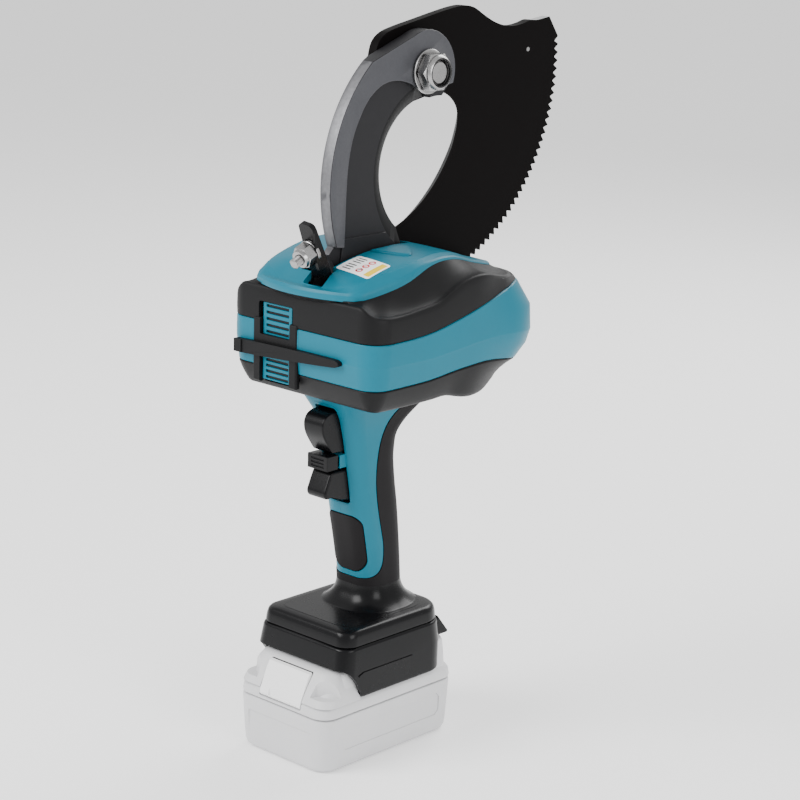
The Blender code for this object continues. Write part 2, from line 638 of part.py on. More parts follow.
def build():
    clear_scene()
    teal = material("teal_shell", (0.0, 0.21, 0.27), 0.45)
    black = material("black_shell", (0.018, 0.018, 0.020), 0.55)
    gloss = material("gloss_black", (0.008, 0.008, 0.009), 0.15)
    rubber = material("rubber", (0.022, 0.021, 0.024), 0.8)
    steel = material("dark_steel", (0.09, 0.09, 0.10), 0.42, 0.8)
    black_steel = material("black_steel", (0.015, 0.013, 0.013), 0.45, 0.5)
    bright = material("bright_steel", (0.62, 0.61, 0.60), 0.25, 1.0)
    plate_steel = material("plate_steel", (0.35, 0.35, 0.36), 0.4, 1.0)
    bearing_steel = material("bearing_steel", (0.5, 0.5, 0.52), 0.2, 1.0)
    spring_steel = material("spring_steel", (0.4, 0.4, 0.42), 0.3, 1.0)
    copper = material("copper", (0.5, 0.2, 0.08), 0.35, 1.0)
    board = material("circuit_board", (0.01, 0.12, 0.04), 0.5)
    pale = material("pale_shell", (0.52, 0.52, 0.53), 0.5)
    white = material("white_button", (0.9, 0.9, 0.9), 0.5)
    cell = material("cell_wrap", (0.05, 0.2, 0.3), 0.4)

    cutting_head(steel, black_steel, bright)
    jaw_mounting(plate_steel, bright)
    release_lever(black_steel, bright)
    pawls(plate_steel, spring_steel)
    eccentric_shaft(plate_steel, bearing_steel)
    gearbox(plate_steel, black)
    motor(plate_steel, copper, black)
    housing_half("housing_right", 1, teal)
    housing_half("housing_left", -1, teal)
    palm_pad(rubber)
    rear_grip(rubber)
    bands(black)
    top_cover(teal)
    head_trim(teal, black)
    controls(gloss, black, spring_steel, board)
    base(gloss)
    battery(pale, white, cell, spring_steel, board)


build()
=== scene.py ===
# %% [markdown]
# # A battery ratchet cable cutter
#
# The tool is a pistol-grip head on a slide-on battery. A fixed hook jaw and a swinging toothed blade
# rise from its top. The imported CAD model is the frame: it says where everything is and how it moves.
# This lesson makes the surfaces that a person sees, piece by piece, and gives each its finish.

# %% Load the frame
import json
import math

import bpy
import numpy as np
from mathutils import Matrix, Vector


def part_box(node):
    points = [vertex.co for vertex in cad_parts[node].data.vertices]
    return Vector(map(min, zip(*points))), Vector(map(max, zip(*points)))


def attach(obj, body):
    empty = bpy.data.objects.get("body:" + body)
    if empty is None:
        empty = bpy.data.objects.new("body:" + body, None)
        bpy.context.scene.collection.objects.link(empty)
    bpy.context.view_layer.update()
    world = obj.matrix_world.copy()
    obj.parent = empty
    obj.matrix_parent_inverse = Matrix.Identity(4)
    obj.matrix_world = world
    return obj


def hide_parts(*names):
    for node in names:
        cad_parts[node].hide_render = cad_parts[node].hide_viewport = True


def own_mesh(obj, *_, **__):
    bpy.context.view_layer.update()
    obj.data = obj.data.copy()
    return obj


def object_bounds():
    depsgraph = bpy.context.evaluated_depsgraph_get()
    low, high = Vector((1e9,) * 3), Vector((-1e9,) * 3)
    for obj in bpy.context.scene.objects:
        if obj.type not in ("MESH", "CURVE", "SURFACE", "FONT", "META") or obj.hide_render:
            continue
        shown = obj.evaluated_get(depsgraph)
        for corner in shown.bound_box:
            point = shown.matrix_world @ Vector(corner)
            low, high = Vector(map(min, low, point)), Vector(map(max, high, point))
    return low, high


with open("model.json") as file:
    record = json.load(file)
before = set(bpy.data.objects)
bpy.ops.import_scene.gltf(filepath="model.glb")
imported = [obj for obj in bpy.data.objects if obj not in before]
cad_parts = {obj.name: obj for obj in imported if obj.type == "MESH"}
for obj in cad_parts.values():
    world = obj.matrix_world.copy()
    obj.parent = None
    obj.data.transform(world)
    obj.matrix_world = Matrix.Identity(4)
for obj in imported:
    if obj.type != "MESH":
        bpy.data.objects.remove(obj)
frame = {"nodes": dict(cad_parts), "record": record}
cad_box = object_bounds()
nodes = frame["nodes"]

# %% [markdown]
# ## Camera, light and floor
#
# A product shot is taken with a long lens from well back, so that the battery and the jaw keep their
# proportions. The camera is set by how far it is turned round the tool, how high it looks from, and
# how far away it stands. Three big soft lamps and a pale floor give the black plastic something to
# reflect.

# %% Camera
TURN, RISE, ROLL = math.radians(42.819), math.radians(14.693), math.radians(1.61)
DISTANCE = 1.32646
LENS, SENSOR = 101.56, 36.0
LOOK_RIGHT, LOOK_HIGH = 0.027413, 0.21211

back = Vector((math.sin(TURN) * math.cos(RISE), -math.cos(TURN) * math.cos(RISE), math.sin(RISE)))
right = Vector((math.cos(TURN), math.sin(TURN), 0.0))
up = back.cross(right)
rolled_right = math.cos(ROLL) * right + math.sin(ROLL) * up
rolled_up = math.cos(ROLL) * up - math.sin(ROLL) * right
place = right * LOOK_RIGHT + Vector((0, 0, LOOK_HIGH)) + back * DISTANCE
lens = bpy.data.cameras.new("camera")
lens.lens, lens.sensor_width = LENS, SENSOR
camera = bpy.data.objects.new("camera", lens)
turned = Matrix((rolled_right, rolled_up, back)).transposed().to_4x4()
camera.matrix_world = Matrix.Translation(place) @ turned
bpy.context.scene.collection.objects.link(camera)
bpy.context.scene.camera = camera
print("camera", round(DISTANCE, 2), "m away, lens", LENS, "mm")


# %% [markdown]
# The lamps are square soft boxes that face the middle of the tool. The sky is plain white, and the
# floor glows faintly, so that the shadows stay soft.

# %% Lamps, sky and floor
def deselect():
    bpy.ops.object.select_all(action="DESELECT")


def lamp(name, place, size, power):
    """A square soft box that faces the middle of the tool."""
    deselect()
    bpy.ops.object.light_add(type="AREA", location=place)
    made = bpy.context.active_object
    made.name = name
    made.data.shape = "SQUARE"
    made.data.size = size
    made.data.energy = power
    made.rotation_euler = (Vector(place) - Vector((0, 0, 0.24))).to_track_quat("Z", "Y").to_euler()


lamp("key_softbox", (-0.55, -1.25, 1.15), 0.9, 33)
lamp("side_softbox", (1.45, -0.15, 0.75), 0.8, 12)
lamp("back_softbox", (-0.2, 1.3, 1.3), 1.0, 22)

sky = bpy.data.worlds.new("studio")
sky.use_nodes = True
sky.node_tree.nodes["Background"].inputs["Color"].default_value = (1.0, 1.0, 1.0, 1.0)
sky.node_tree.nodes["Background"].inputs["Strength"].default_value = 1.0
bpy.context.scene.world = sky

deselect()
bpy.ops.mesh.primitive_plane_add(size=12.0)
floor = bpy.context.active_object
floor.name = "floor"
paper = bpy.data.materials.new("white_paper")
paper.use_nodes = True
for socket, value in (("Base Color", (0.9, 0.9, 0.9, 1.0)), ("Roughness", 0.9), ("Specular IOR Level", 0.1),
                      ("Emission Color", (1.0, 1.0, 1.0, 1.0)), ("Emission Strength", 0.3)):
    paper.node_tree.nodes["Principled BSDF"].inputs[socket].default_value = value
floor.data.materials.append(paper)
print("lamps, sky and a", floor.dimensions.x, "m floor")

# %% [markdown]
# ## A small language for materials
#
# A finish is a little sum: noise times a strength, plus a base value. Writing it as Python keeps it
# readable, so one class wraps a node's socket and turns +, - and * into Math nodes. Its `node` method
# makes any other node. All patterns read Object coordinates, in millimetres, so grain has a true size.


# %% Socket maths
class Socket:
    """A value in a material, which can be added, multiplied and clamped like a number."""

    def __init__(self, tree, socket):
        self.tree = tree
        self.socket = socket

    def node(self, kind, settings=None, output=0, **values):
        made = self.tree.nodes.new(kind)
        for name, value in (settings or {}).items():
            if name == "stops":
                ramp = made.color_ramp
                for stop, (position, colour) in zip((ramp.elements[0], ramp.elements[1]), value):
                    stop.position, stop.color = position, colour
            else:
                setattr(made, name, value)
        for name, value in values.items():
            slot = made.inputs[int(name[1:])] if name[0] == "i" and name[1:].isdigit() else made.inputs[name]
            if isinstance(value, Socket):
                self.tree.links.new(value.socket, slot)
            else:
                slot.default_value = value
        return Socket(self.tree, made.outputs[output])

    def maths(self, operation, other=0.0, swap=False):
        first, second = (other, self) if swap else (self, other)
        return self.node("ShaderNodeMath", {"operation": operation}, i0=first, i1=second)

    def __add__(self, other):
        return self.maths("ADD", other)

    __radd__ = __add__

    def __mul__(self, other):
        return self.maths("MULTIPLY", other)

    __rmul__ = __mul__

    def __sub__(self, other):
        return self.maths("SUBTRACT", other)

    def __rsub__(self, other):
        return self.maths("SUBTRACT", other, swap=True)

    def above(self, edge, softness):
        """0 below the edge and 1 above it, with a soft step."""
        return self.node("ShaderNodeMapRange", {"interpolation_type": "SMOOTHSTEP"},
                         Value=self, **{"From Min": edge - softness, "From Max": edge + softness})

    def mix(self, low, high):
        """A colour between two, by this value."""
        return self.node("ShaderNodeMix", {"data_type": "RGBA"}, output=2, i0=self, i6=low, i7=high)


def rgb(red, green, blue):
    return (red, green, blue, 1.0)


class Finish:
    """A material under construction: its shader, and Object coordinates in millimetres."""

    def __init__(self, name, colour, roughness, metallic=0.0, **settings):
        self.material = bpy.data.materials.new(name)
        self.material.use_nodes = True
        self.tree = self.material.node_tree
        self.shader = self.tree.nodes["Principled BSDF"]
        self.set("Base Color", rgb(*colour))
        self.set("Roughness", roughness)
        self.set("Metallic", metallic)
        for socket, value in settings.items():
            self.set(socket.replace("_", " "), value)
        start = Socket(self.tree, None)
        where = start.node("ShaderNodeTexCoord", output=3)
        self.place = where.node("ShaderNodeVectorMath", {"operation": "SCALE"}, i0=where, i3=1000.0)

    def set(self, socket, value):
        if isinstance(value, Socket):
            self.tree.links.new(value.socket, self.shader.inputs[socket])
        else:
            self.shader.inputs[socket].default_value = value

    def stretched(self, x, y, z):
        return self.place.node("ShaderNodeVectorMath", {"operation": "MULTIPLY"}, i0=self.place, i1=(x, y, z))

    def noise(self, scale, detail=3.0, where=None):
        return self.place.node("ShaderNodeTexNoise", Vector=where or self.place, Scale=scale, Detail=detail)

    def axis(self, name):
        return self.place.node("ShaderNodeSeparateXYZ", output="XYZ".index(name), i0=self.place)

    def bump(self, height, depth, strength=1.0):
        """Relief from a height pattern; depth is in millimetres."""
        normal = self.place.node("ShaderNodeBump", Height=height * (depth * 0.001), Strength=strength,
                                 Distance=1.0)
        self.set("Normal", normal)


# %% [markdown]
# ## Finishes
#
# Moulded plastic is never one flat colour. The mould is spark-eroded, so its surface has a fine grain,
# and handling polishes it unevenly. Each plastic below is a base colour that drifts a little, a
# roughness that drifts with it, and a grain for relief.


# %% Plastics and rubber
def moulded(name, dark, light, roughness, grain_size, grain_depth, drift=0.1, shine=0.5):
    """Grained plastic: colour and gloss drift slowly, and the grain is in millimetres."""
    finish = Finish(name, dark, roughness, Specular_IOR_Level=shine)
    slow = finish.noise(0.045, 4.0)
    smudge = finish.noise(0.35, 5.0)
    finish.set("Base Color", (slow * 0.7 + smudge * 0.3).mix(rgb(*dark), rgb(*light)))
    finish.set("Roughness", roughness - drift / 2 + slow * drift + smudge * (drift * 0.4))
    finish.bump(finish.noise(1.0 / grain_size, 2.0), grain_depth)
    return finish.material


teal_plastic = moulded("teal_plastic", (0.0, 0.115, 0.17), (0.0, 0.14, 0.205), 0.38, 0.45, 0.012, shine=0.2)
black_plastic = moulded("black_plastic", (0.003, 0.003, 0.0035), (0.006, 0.006, 0.0065), 0.46, 0.5, 0.03,
                        0.14, shine=0.15)
gloss_black = moulded("gloss_black", (0.002, 0.002, 0.0025), (0.004, 0.004, 0.0045), 0.25, 3.0, 0.01, 0.08,
                      shine=0.16)
grip_rubber = moulded("grip_rubber", (0.005, 0.0045, 0.005), (0.009, 0.008, 0.009), 0.6, 0.35, 0.03, 0.1,
                      shine=0.14)
pale_plastic = moulded("pale_plastic", (0.54, 0.54, 0.55), (0.62, 0.62, 0.63), 0.45, 0.6, 0.015)
white_plastic = moulded("white_plastic", (0.83, 0.83, 0.83), (0.9, 0.9, 0.9), 0.45, 0.6, 0.01)
print("plastics and rubber:", len(bpy.data.materials), "materials so far")

# %% [markdown]
# Metal is told by its marks. Forged steel is pitted, ground steel is combed one way by the wheel,
# a zinc-plated nut is bright with cloudy patches, and a black coating goes thin on its corners. The
# pitting and clouds are noise; the combing is noise stretched twenty times along the grind.


# %% Metals
def metal(name, dark, light, roughness, metallic, pitting=0.0, comb=None, worn=None, shine=0.5):
    """Steel and its coatings. comb stretches the marks; worn is the colour where corners rub bright."""
    finish = Finish(name, dark, roughness, metallic, Specular_IOR_Level=shine)
    cloud = finish.noise(0.12, 5.0)
    marks = finish.noise(1.0, 4.0, finish.stretched(*comb)) if comb else finish.noise(1.3, 3.0)
    colour = (cloud * 0.5 + marks * 0.5).mix(rgb(*dark), rgb(*light))
    if worn:
        corner = finish.place.node("ShaderNodeNewGeometry", output="Pointiness")
        rubbed = corner.above(0.56, 0.05) * (0.35 + finish.noise(0.5, 4.0) * 0.65)
        colour = rubbed.mix(colour, rgb(*worn))
    finish.set("Base Color", colour)
    finish.set("Roughness", roughness - 0.07 + cloud * 0.1 + marks * 0.08)
    finish.bump(marks, pitting)
    return finish.material


forged_steel = metal("forged_steel", (0.008, 0.008, 0.0095), (0.018, 0.0175, 0.0195), 0.46, 0.3, 0.035,
                     shine=0.25)
rim_steel = metal("rim_steel", (0.036, 0.037, 0.043), (0.064, 0.065, 0.073), 0.42, 0.4, 0.02,
                  worn=(0.2, 0.2, 0.21), shine=0.3)
edge_steel = metal("edge_steel", (0.04, 0.04, 0.044), (0.085, 0.085, 0.092), 0.38, 0.6, 0.02,
                   comb=(1.0, 0.3, 2.5), worn=(0.2, 0.2, 0.21), shine=0.3)
black_ground = metal("black_ground", (0.0025, 0.0025, 0.003), (0.006, 0.006, 0.0065), 0.4, 0.2, 0.008,
                     comb=(0.3, 0.3, 3.0), shine=0.15)
worn_black = metal("worn_black", (0.012, 0.0115, 0.0115), (0.03, 0.029, 0.029), 0.4, 0.3, 0.008, shine=0.25)
black_steel = metal("black_steel", (0.0016, 0.0012, 0.0012), (0.003, 0.0022, 0.0022), 0.5, 0.0, 0.012,
                    shine=0.04)
ground_steel = metal("ground_steel", (0.42, 0.42, 0.43), (0.6, 0.6, 0.61), 0.3, 1.0, 0.006,
                     comb=(4.0, 0.2, 0.2))
bright_steel = metal("bright_steel", (0.24, 0.237, 0.24), (0.42, 0.415, 0.41), 0.26, 1.0, 0.006)
plate_steel = metal("plate_steel", (0.3, 0.3, 0.31), (0.44, 0.44, 0.45), 0.36, 1.0, 0.008,
                    comb=(1.0, 3.0, 0.15))
spring_steel = metal("spring_steel", (0.33, 0.33, 0.35), (0.5, 0.5, 0.52), 0.28, 1.0, 0.004)
copper_winding = metal("copper_winding", (0.32, 0.13, 0.05), (0.6, 0.28, 0.11), 0.34, 1.0, 0.06,
                       comb=(3.0, 0.25, 3.0))
circuit_board = moulded("circuit_board", (0.005, 0.08, 0.03), (0.02, 0.15, 0.05), 0.35, 0.8, 0.02)
cell_wrap = moulded("cell_wrap", (0.03, 0.15, 0.24), (0.05, 0.2, 0.3), 0.3, 2.0, 0.01)
FINISHES = {"dark_steel": forged_steel, "black_steel": black_steel, "bright_steel": bright_steel,
            "plate_steel": plate_steel, "spring_steel": spring_steel, "copper_winding": copper_winding,
            "black_plastic": black_plastic, "teal_plastic": teal_plastic, "grip_rubber": grip_rubber,
            "gloss_black": gloss_black, "circuit_board": circuit_board, "pale_plastic": pale_plastic,
            "white_plastic": white_plastic, "cell_wrap": cell_wrap}
for part in frame["record"]["subparts"]:
    node = nodes[part["node"]]
    node.data.materials.clear()
    node.data.materials.append(FINISHES[part["material_slot"]])
print("finishes:", len(bpy.data.materials))

# %% [markdown]
# ## Ways of making a shape
#
# Most of this tool is either a plate with an outline or a skin whose section changes along its length.
# Both start as Blender's grid: every row of the grid becomes one section, the seam is welded, and the
# ends are filled. The numbers below are millimetres, because that is how a maker thinks of a tool.

# %% Helpers for shaping
MM = 0.001


def only(piece):
    deselect()
    piece.select_set(True)
    bpy.context.view_layer.objects.active = piece


def wrap(name, rings, loop=False):
    """A grid wrapped round the rings: the ends are filled or, in a loop, the last ring meets the first."""
    rows = list(rings) + ([rings[0]] if loop else [])
    across = len(rows[0])
    deselect()
    bpy.ops.mesh.primitive_grid_add(x_subdivisions=across, y_subdivisions=len(rows) - 1)
    made = bpy.context.active_object
    made.name = made.data.name = name
    points = [row[i % across] for row in rows for i in range(across + 1)]
    made.data.vertices.foreach_set("co", MM * np.array(points, np.float32).ravel())
    bpy.ops.object.mode_set(mode="EDIT")
    bpy.ops.mesh.select_all(action="SELECT")
    bpy.ops.mesh.remove_doubles(threshold=0.002 * MM)
    bpy.ops.mesh.fill_holes(sides=0)
    bpy.ops.mesh.select_all(action="SELECT")
    bpy.ops.mesh.normals_make_consistent(inside=False)
    bpy.ops.object.mode_set(mode="OBJECT")
    return made


def set_in(point, axis, height):
    """A flat point placed at a height along an axis; the flat pair keeps the order x, y, z."""
    place = list(point)
    place.insert("xyz".index(axis), height)
    return place


def plate(name, outline, axis, low, high):
    return wrap(name, [[set_in(p, axis, low) for p in outline], [set_in(p, axis, high) for p in outline]])


def box(name, x, y, z):
    return plate(name, [(x[0], y[0]), (x[1], y[0]), (x[1], y[1]), (x[0], y[1])], "z", *z)


def turned_piece(name, axis, centre, profile, count=48):
    """A lathe: (height, radius) pairs swept round an axis."""
    return wrap(name, [[set_in(p, axis, height) for p in arc(centre, radius, 0, 360, count + 1)[:-1]]
                       for height, radius in profile])


def arc(centre, radius, begin, end, count):
    angles = [math.radians(begin + (end - begin) * i / (count - 1)) for i in range(count)]
    return [(centre[0] + radius * math.cos(a), centre[1] + radius * math.sin(a)) for a in angles]


def spline(points, steps=5):
    """A smooth run through the points, ends included."""
    ends = [points[0]] + list(points) + [points[-1]]
    run = []
    for a, b, c, d in zip(ends, ends[1:], ends[2:], ends[3:]):
        for i in range(steps):
            t = i / steps
            run.append(tuple(0.5 * (2 * q + (r - p) * t + (2 * p - 5 * q + 4 * r - s) * t * t
                                    + (3 * q - p - 3 * r + s) * t ** 3) for p, q, r, s in zip(a, b, c, d)))
    return run + [tuple(points[-1])]


def through(*pairs):
    """A smooth function of one number, through (number, value) pairs, flat beyond its ends."""
    at = np.array([p[0] for p in pairs], float)
    values = np.array([p[1] for p in pairs], float)
    slopes = np.gradient(values, at)

    def curve(x):
        x = min(max(x, at[0]), at[-1])
        i = min(int(np.searchsorted(at, x, side="right")) - 1, len(at) - 2)
        h = at[i + 1] - at[i]
        t = (x - at[i]) / h
        return float((1 + 2 * t) * (1 - t) ** 2 * values[i] + t * (1 - t) ** 2 * h * slopes[i]
                     + t * t * (3 - 2 * t) * values[i + 1] - t * t * (1 - t) * h * slopes[i + 1])

    return curve


def apply_last(piece):
    only(piece)
    bpy.ops.object.modifier_apply(modifier=piece.modifiers[-1].name)


def combine(piece, tool, operation="DIFFERENCE"):
    """Cut the tool from the piece, or weld it on. The tool is used up."""
    step = piece.modifiers.new("combine", "BOOLEAN")
    step.object = tool
    step.operation = operation
    step.solver = "EXACT"
    apply_last(piece)
    bpy.data.objects.remove(tool)
    return piece


def round_edges(piece, width, segments=2, angle=35):
    step = piece.modifiers.new("round", "BEVEL")
    step.width = width * MM
    step.segments = segments
    step.limit_method = "ANGLE"
    step.angle_limit = math.radians(angle)
    step.use_clamp_overlap = True
    apply_last(piece)
    return piece


def shade(piece, angle=32):
    only(piece)
    bpy.ops.object.shade_smooth_by_angle(angle=math.radians(angle))


def dress(piece, slot, replaces=(), body="tool", finish=None, angle=32):
    """Shade a finished piece, give it its finish and body, and hide the CAD nodes that it stands for."""
    shade(piece, angle)
    step = piece.modifiers.new("even_faces", "WEIGHTED_NORMAL")
    step.keep_sharp = True
    apply_last(piece)
    piece.data.materials.clear()
    piece.data.materials.append(finish or FINISHES[slot])
    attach(piece, body)
    if replaces:
        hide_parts(*replaces)
    print(piece.name, len(piece.data.polygons), "faces")
    return piece


def paint(piece, finish, test):
    """Give a finish to the faces whose centre and normal pass the test; the centre is in millimetres."""
    piece.data.materials.append(finish)
    slot = len(piece.data.materials) - 1
    for face in piece.data.polygons:
        if test(face.center / MM, face.normal):
            face.material_index = slot


# %% [markdown]
# ## The moving blade
#
# The blade is a black plate, flat on the side that slides past the jaw and hollow-ground on the other.
# Ratchet teeth run down its back, all at one pitch about the pivot. It is drawn as one outline: a
# smooth top, the teeth by a loop, the cutting edge as an arc, and the round lobe beside the pivot.

# %% Blade
pivot = (45.0, 402.0)
blade_low, blade_high = (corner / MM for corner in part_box("moving_blade"))
TOOTH_RADIUS, TOOTH_DEPTH, TOOTH_PITCH = 130.6, 3.2, 2.216
FIRST_TOOTH, TOOTH_COUNT = 5.7, 46
EDGE_CENTRE, EDGE_RADIUS = (2.6, 392.7), 87.3


def on_pivot(degrees, radius):
    angle = math.radians(degrees)
    return (pivot[0] + radius * math.cos(angle), pivot[1] + radius * math.sin(angle))


def tooth_run():
    """Each tooth has a short steep flank, a long back and a small worn flat at its tip."""
    run = []
    for i in range(TOOTH_COUNT):
        top = FIRST_TOOTH - i * TOOTH_PITCH
        run += [on_pivot(top, TOOTH_RADIUS - 0.15), on_pivot(top - 0.2, TOOTH_RADIUS),
                on_pivot(top - 0.5 * TOOTH_PITCH, TOOTH_RADIUS - TOOTH_DEPTH + 0.2),
                on_pivot(top - 0.62 * TOOTH_PITCH, TOOTH_RADIUS - TOOTH_DEPTH)]
    return run


blade_top = spline([(11, 403), (11.5, 411), (14, 419), (20, 424), (30, 427), (50, 431), (66, 434.2),
                    (79, 436.4), (88, 437), (96, 435.4), (104, 431.2), (113, 426.8), (122, 424), (132, 422.9),
                    (141, 423.9), (148, 425.6), (155, 425.5), (166, 427)], 4)
blade_root = spline([(62, 387.5), (56, 386), (44, 383.5), (32, 382), (22, 386), (15, 393), (11, 403)], 4)[:-1]
lobe = spline([(80.6, 353.4), (82.4, 358.5), (84, 364), (84.7, 370), (84.1, 375.2), (81.8, 379.6),
               (77.6, 383.6), (72.4, 386.4), (67.3, 387.8)], 4)[1:]
edge = arc(EDGE_CENTRE, EDGE_RADIUS, -80, -26.7, 40)
blade = plate("cutting_blade", blade_top + tooth_run() + edge + lobe + blade_root, "x",
              blade_low.x, blade_high.x)
MOUTH, MOUTH_RADIUS = (58.0, 344.0), 42.7
ground_edge = arc(EDGE_CENTRE, EDGE_RADIUS, -86, -26.7, 36) + lobe + [(60, 384), (46, 372), (30, 350),
                                                                      (18, 322)]
grind = wrap("grind", [[set_in([m + (c - m) * share for m, c in zip(MOUTH, p)], "x", x) for p in ground_edge]
                       for x, share in ((-0.9, 0.99), (-7.0, 1.24))])
combine(blade, grind)
combine(blade, turned_piece("bore", "x", pivot, [(-9, 7.2), (3, 7.2)]))
combine(blade, turned_piece("dowel", "x", (147, 408), [(-9, 1.6), (3, 1.6)], 20))
round_edges(blade, 0.35, 2, 40)
dress(blade, "black_steel", ["moving_blade"], "blade", angle=28)
paint(blade, ground_steel, lambda c, n: c.y > 150 and c.z > 424 and n.z > 0.7)
paint(blade, black_ground, lambda c, n: n.x < -0.25 and n.x > -0.97)
paint(blade, worn_black, lambda c, n: 0.2 < n.x < 0.97 and (c.z > 395 or math.dist((c.y, c.z), pivot) > 120))

# %% [markdown]
# ## The fixed jaw
#
# The jaw is a forged hook. Its outer rim and the boss round the pivot stand proud of a thinner web, the
# mouth is ground to an edge, and the foot goes down into the head. A web plate, a rim plate and a foot
# have their edges rounded and are then welded, and a cone cuts the grind.

# %% Jaw
jaw_high_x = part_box("fixed_jaw")[1].x / MM
rim_arc = arc((60, 340), 93, 201, 131, 30)
boss = arc(pivot, 24, 118, -20, 26)
hook = [(30, 250), (-18, 250), (-24, 292), (-30.5, 303)] + rim_arc + boss + arc(MOUTH, MOUTH_RADIUS, 86,
                                                                                230, 60)
jaw = round_edges(plate("hook_jaw", hook, "x", 0.3, 7.7), 0.5, 2, 60)
inner_rim = spline([(45, 388.5), (38, 392), (30, 395.8), (19, 398), (8, 396.4), (-2, 390), (-9.5, 380),
                    (-15.5, 367), (-18.6, 352), (-19.6, 338), (-20, 322), (-20.4, 306)], 4)
raised = plate("raised_rim", arc((60, 340), 92.9, 201, 131, 30) + boss + inner_rim, "x", 6.7, jaw_high_x)
combine(jaw, round_edges(raised, 0.7, 3, 60), "UNION")
foot = plate("foot", [(29, 251), (-17, 251), (-23, 292), (-20.2, 311), (15, 311), (24, 303)], "x", 7.0, 8.8)
combine(jaw, round_edges(foot, 0.6, 2, 60), "UNION")
cone = wrap("cone", [[set_in(p, "x", x) for p in arc(MOUTH, radius, 100, 238, 60) + [MOUTH]]
                     for x, radius in ((1.3, MOUTH_RADIUS - 0.6), (7.75, 53.5))])
combine(jaw, cone)
flank = wrap("flank", [[set_in(p, "x", x) for p in arc((60, 340), inner, 203, 128, 40)
                        + arc((60, 340), 100, 128, 203, 40)] for x, inner in ((-0.5, 89.5), (2.6, 93.3))])
combine(jaw, flank)
combine(jaw, turned_piece("bore", "x", pivot, [(-2, 7.2), (14, 7.2)]))
for place in ((-6, 262), (20, 262)):
    combine(jaw, turned_piece("bore", "x", place, [(-2, 3.15), (14, 3.15)], 24))
dress(jaw, "dark_steel", ["fixed_jaw"], angle=30)


def from_rim(c):
    return math.hypot(c.y - 60, c.z - 340)


def from_mouth(c):
    return math.hypot(c.y - MOUTH[0], c.z - MOUTH[1])


paint(jaw, rim_steel, lambda c, n: n.x > 0.9 and c.x > 9.6)
paint(jaw, edge_steel, lambda c, n: abs(n.x) < 0.6 and from_rim(c) > 91.8 and c.y < 20 and c.x > 2.7)
paint(jaw, black_ground, lambda c, n: from_mouth(c) < 53.4 and c.x < 7.8 and n.x > 0.2 and n.x < 0.97)
paint(jaw, black_ground, lambda c, n: c.x < 3.0 and from_rim(c) > 89.0 and n.x < 0.2 and c.z > 300)

# %% [markdown]
# ## Pivot hardware
#
# A bolt joins blade and jaw. Its end shows inside a lock nut, whose collar stands above the hexagon.
# A hexagon becomes a nut when its corners are cut by a cone, so a lathe shape is intersected with it.


# %% Bolt, washer and nut
def hexagon(name, axis, centre, across, low, high):
    """A hexagonal head whose corners are turned off at both ends. across is its half width over corners."""
    made = plate(name, arc(centre, across, 0, 360, 7)[:-1], axis, low, high)
    turn_off = 0.13 * across
    lathe = turned_piece("lathe", axis, centre,
                         [(low, across - turn_off), (low + turn_off * 0.6, across + 0.1),
                                                 (high - turn_off * 0.6, across + 0.1),
                                                 (high, across - turn_off)], 48)
    return combine(made, lathe, "INTERSECT")


def threaded(name, axis, centre, radius, low, high, pitch=1.6):
    """A shank with thread crests: the lathe's tool goes in and out once for each pitch."""
    profile = [(low, radius - 0.8)]
    at = low + 0.5
    while at + pitch < high:
        profile += [(at, radius), (at + pitch * 0.5, radius - 0.65)]
        at += pitch
    profile += [(high - 0.8, radius), (high, radius - 0.9)]
    return turned_piece(name, axis, centre, profile, 40)


bolt = combine(hexagon("pivot_bolt_shank", "x", pivot, 12, -12.5, -6.3),
               turned_piece("shank", "x", pivot, [(-7, 7), (12, 7)]), "UNION")
combine(bolt, threaded("thread", "x", pivot, 6.9, 11.6, 19.6), "UNION")
dress(bolt, "bright_steel", ["pivot_bolt"])
washer = turned_piece("pivot_washer_ring", "x", pivot, [(10.7, 12.6), (11.0, 13), (12.0, 13), (12.3, 12.6)])
combine(washer, turned_piece("hole", "x", pivot, [(9, 7.3), (14, 7.3)]))
dress(washer, "bright_steel", ["pivot_washer"])
nut = hexagon("pivot_lock_nut", "x", pivot, 12, 12.6, 18.6)
collar = turned_piece("collar", "x", pivot, [(18, 10.2), (19.6, 10.2), (20.6, 9.6), (21.2, 8.6)])
combine(nut, collar, "UNION")
combine(nut, turned_piece("hole", "x", pivot, [(10, 7.4), (19.9, 7.4), (19.9, 7.6), (22, 7.9)]))
round_edges(nut, 0.25, 2, 30)
dress(nut, "bright_steel", ["pivot_nut"])
paint(nut, black_plastic, lambda c, n: c.x > 18 and math.hypot(c.y - pivot[0], c.z - pivot[1]) < 7.75)
dowel = turned_piece("blade_dowel", "x", (147, 408), [(-5.9, 1.3), (-5.7, 1.5), (-0.3, 1.5), (-0.1, 1.3)], 20)
dress(dowel, "bright_steel", body="blade")

# %% [markdown]
# The release lever stands just ahead of the jaw. It is folded from sheet, and a stud through it carries
# a washer and a nut. All four are made upright about the lever's foot and then leaned forward together.

# %% Release lever
def leaned(piece):
    """Turn an upright piece of the lever forward about its foot."""
    only(piece)
    lean = Matrix.Translation((0.0, -37 * MM, 296 * MM)) @ Matrix.Rotation(math.radians(24), 4, "X")
    piece.matrix_world = lean
    bpy.ops.object.transform_apply(location=True, rotation=True, scale=False)
    return piece


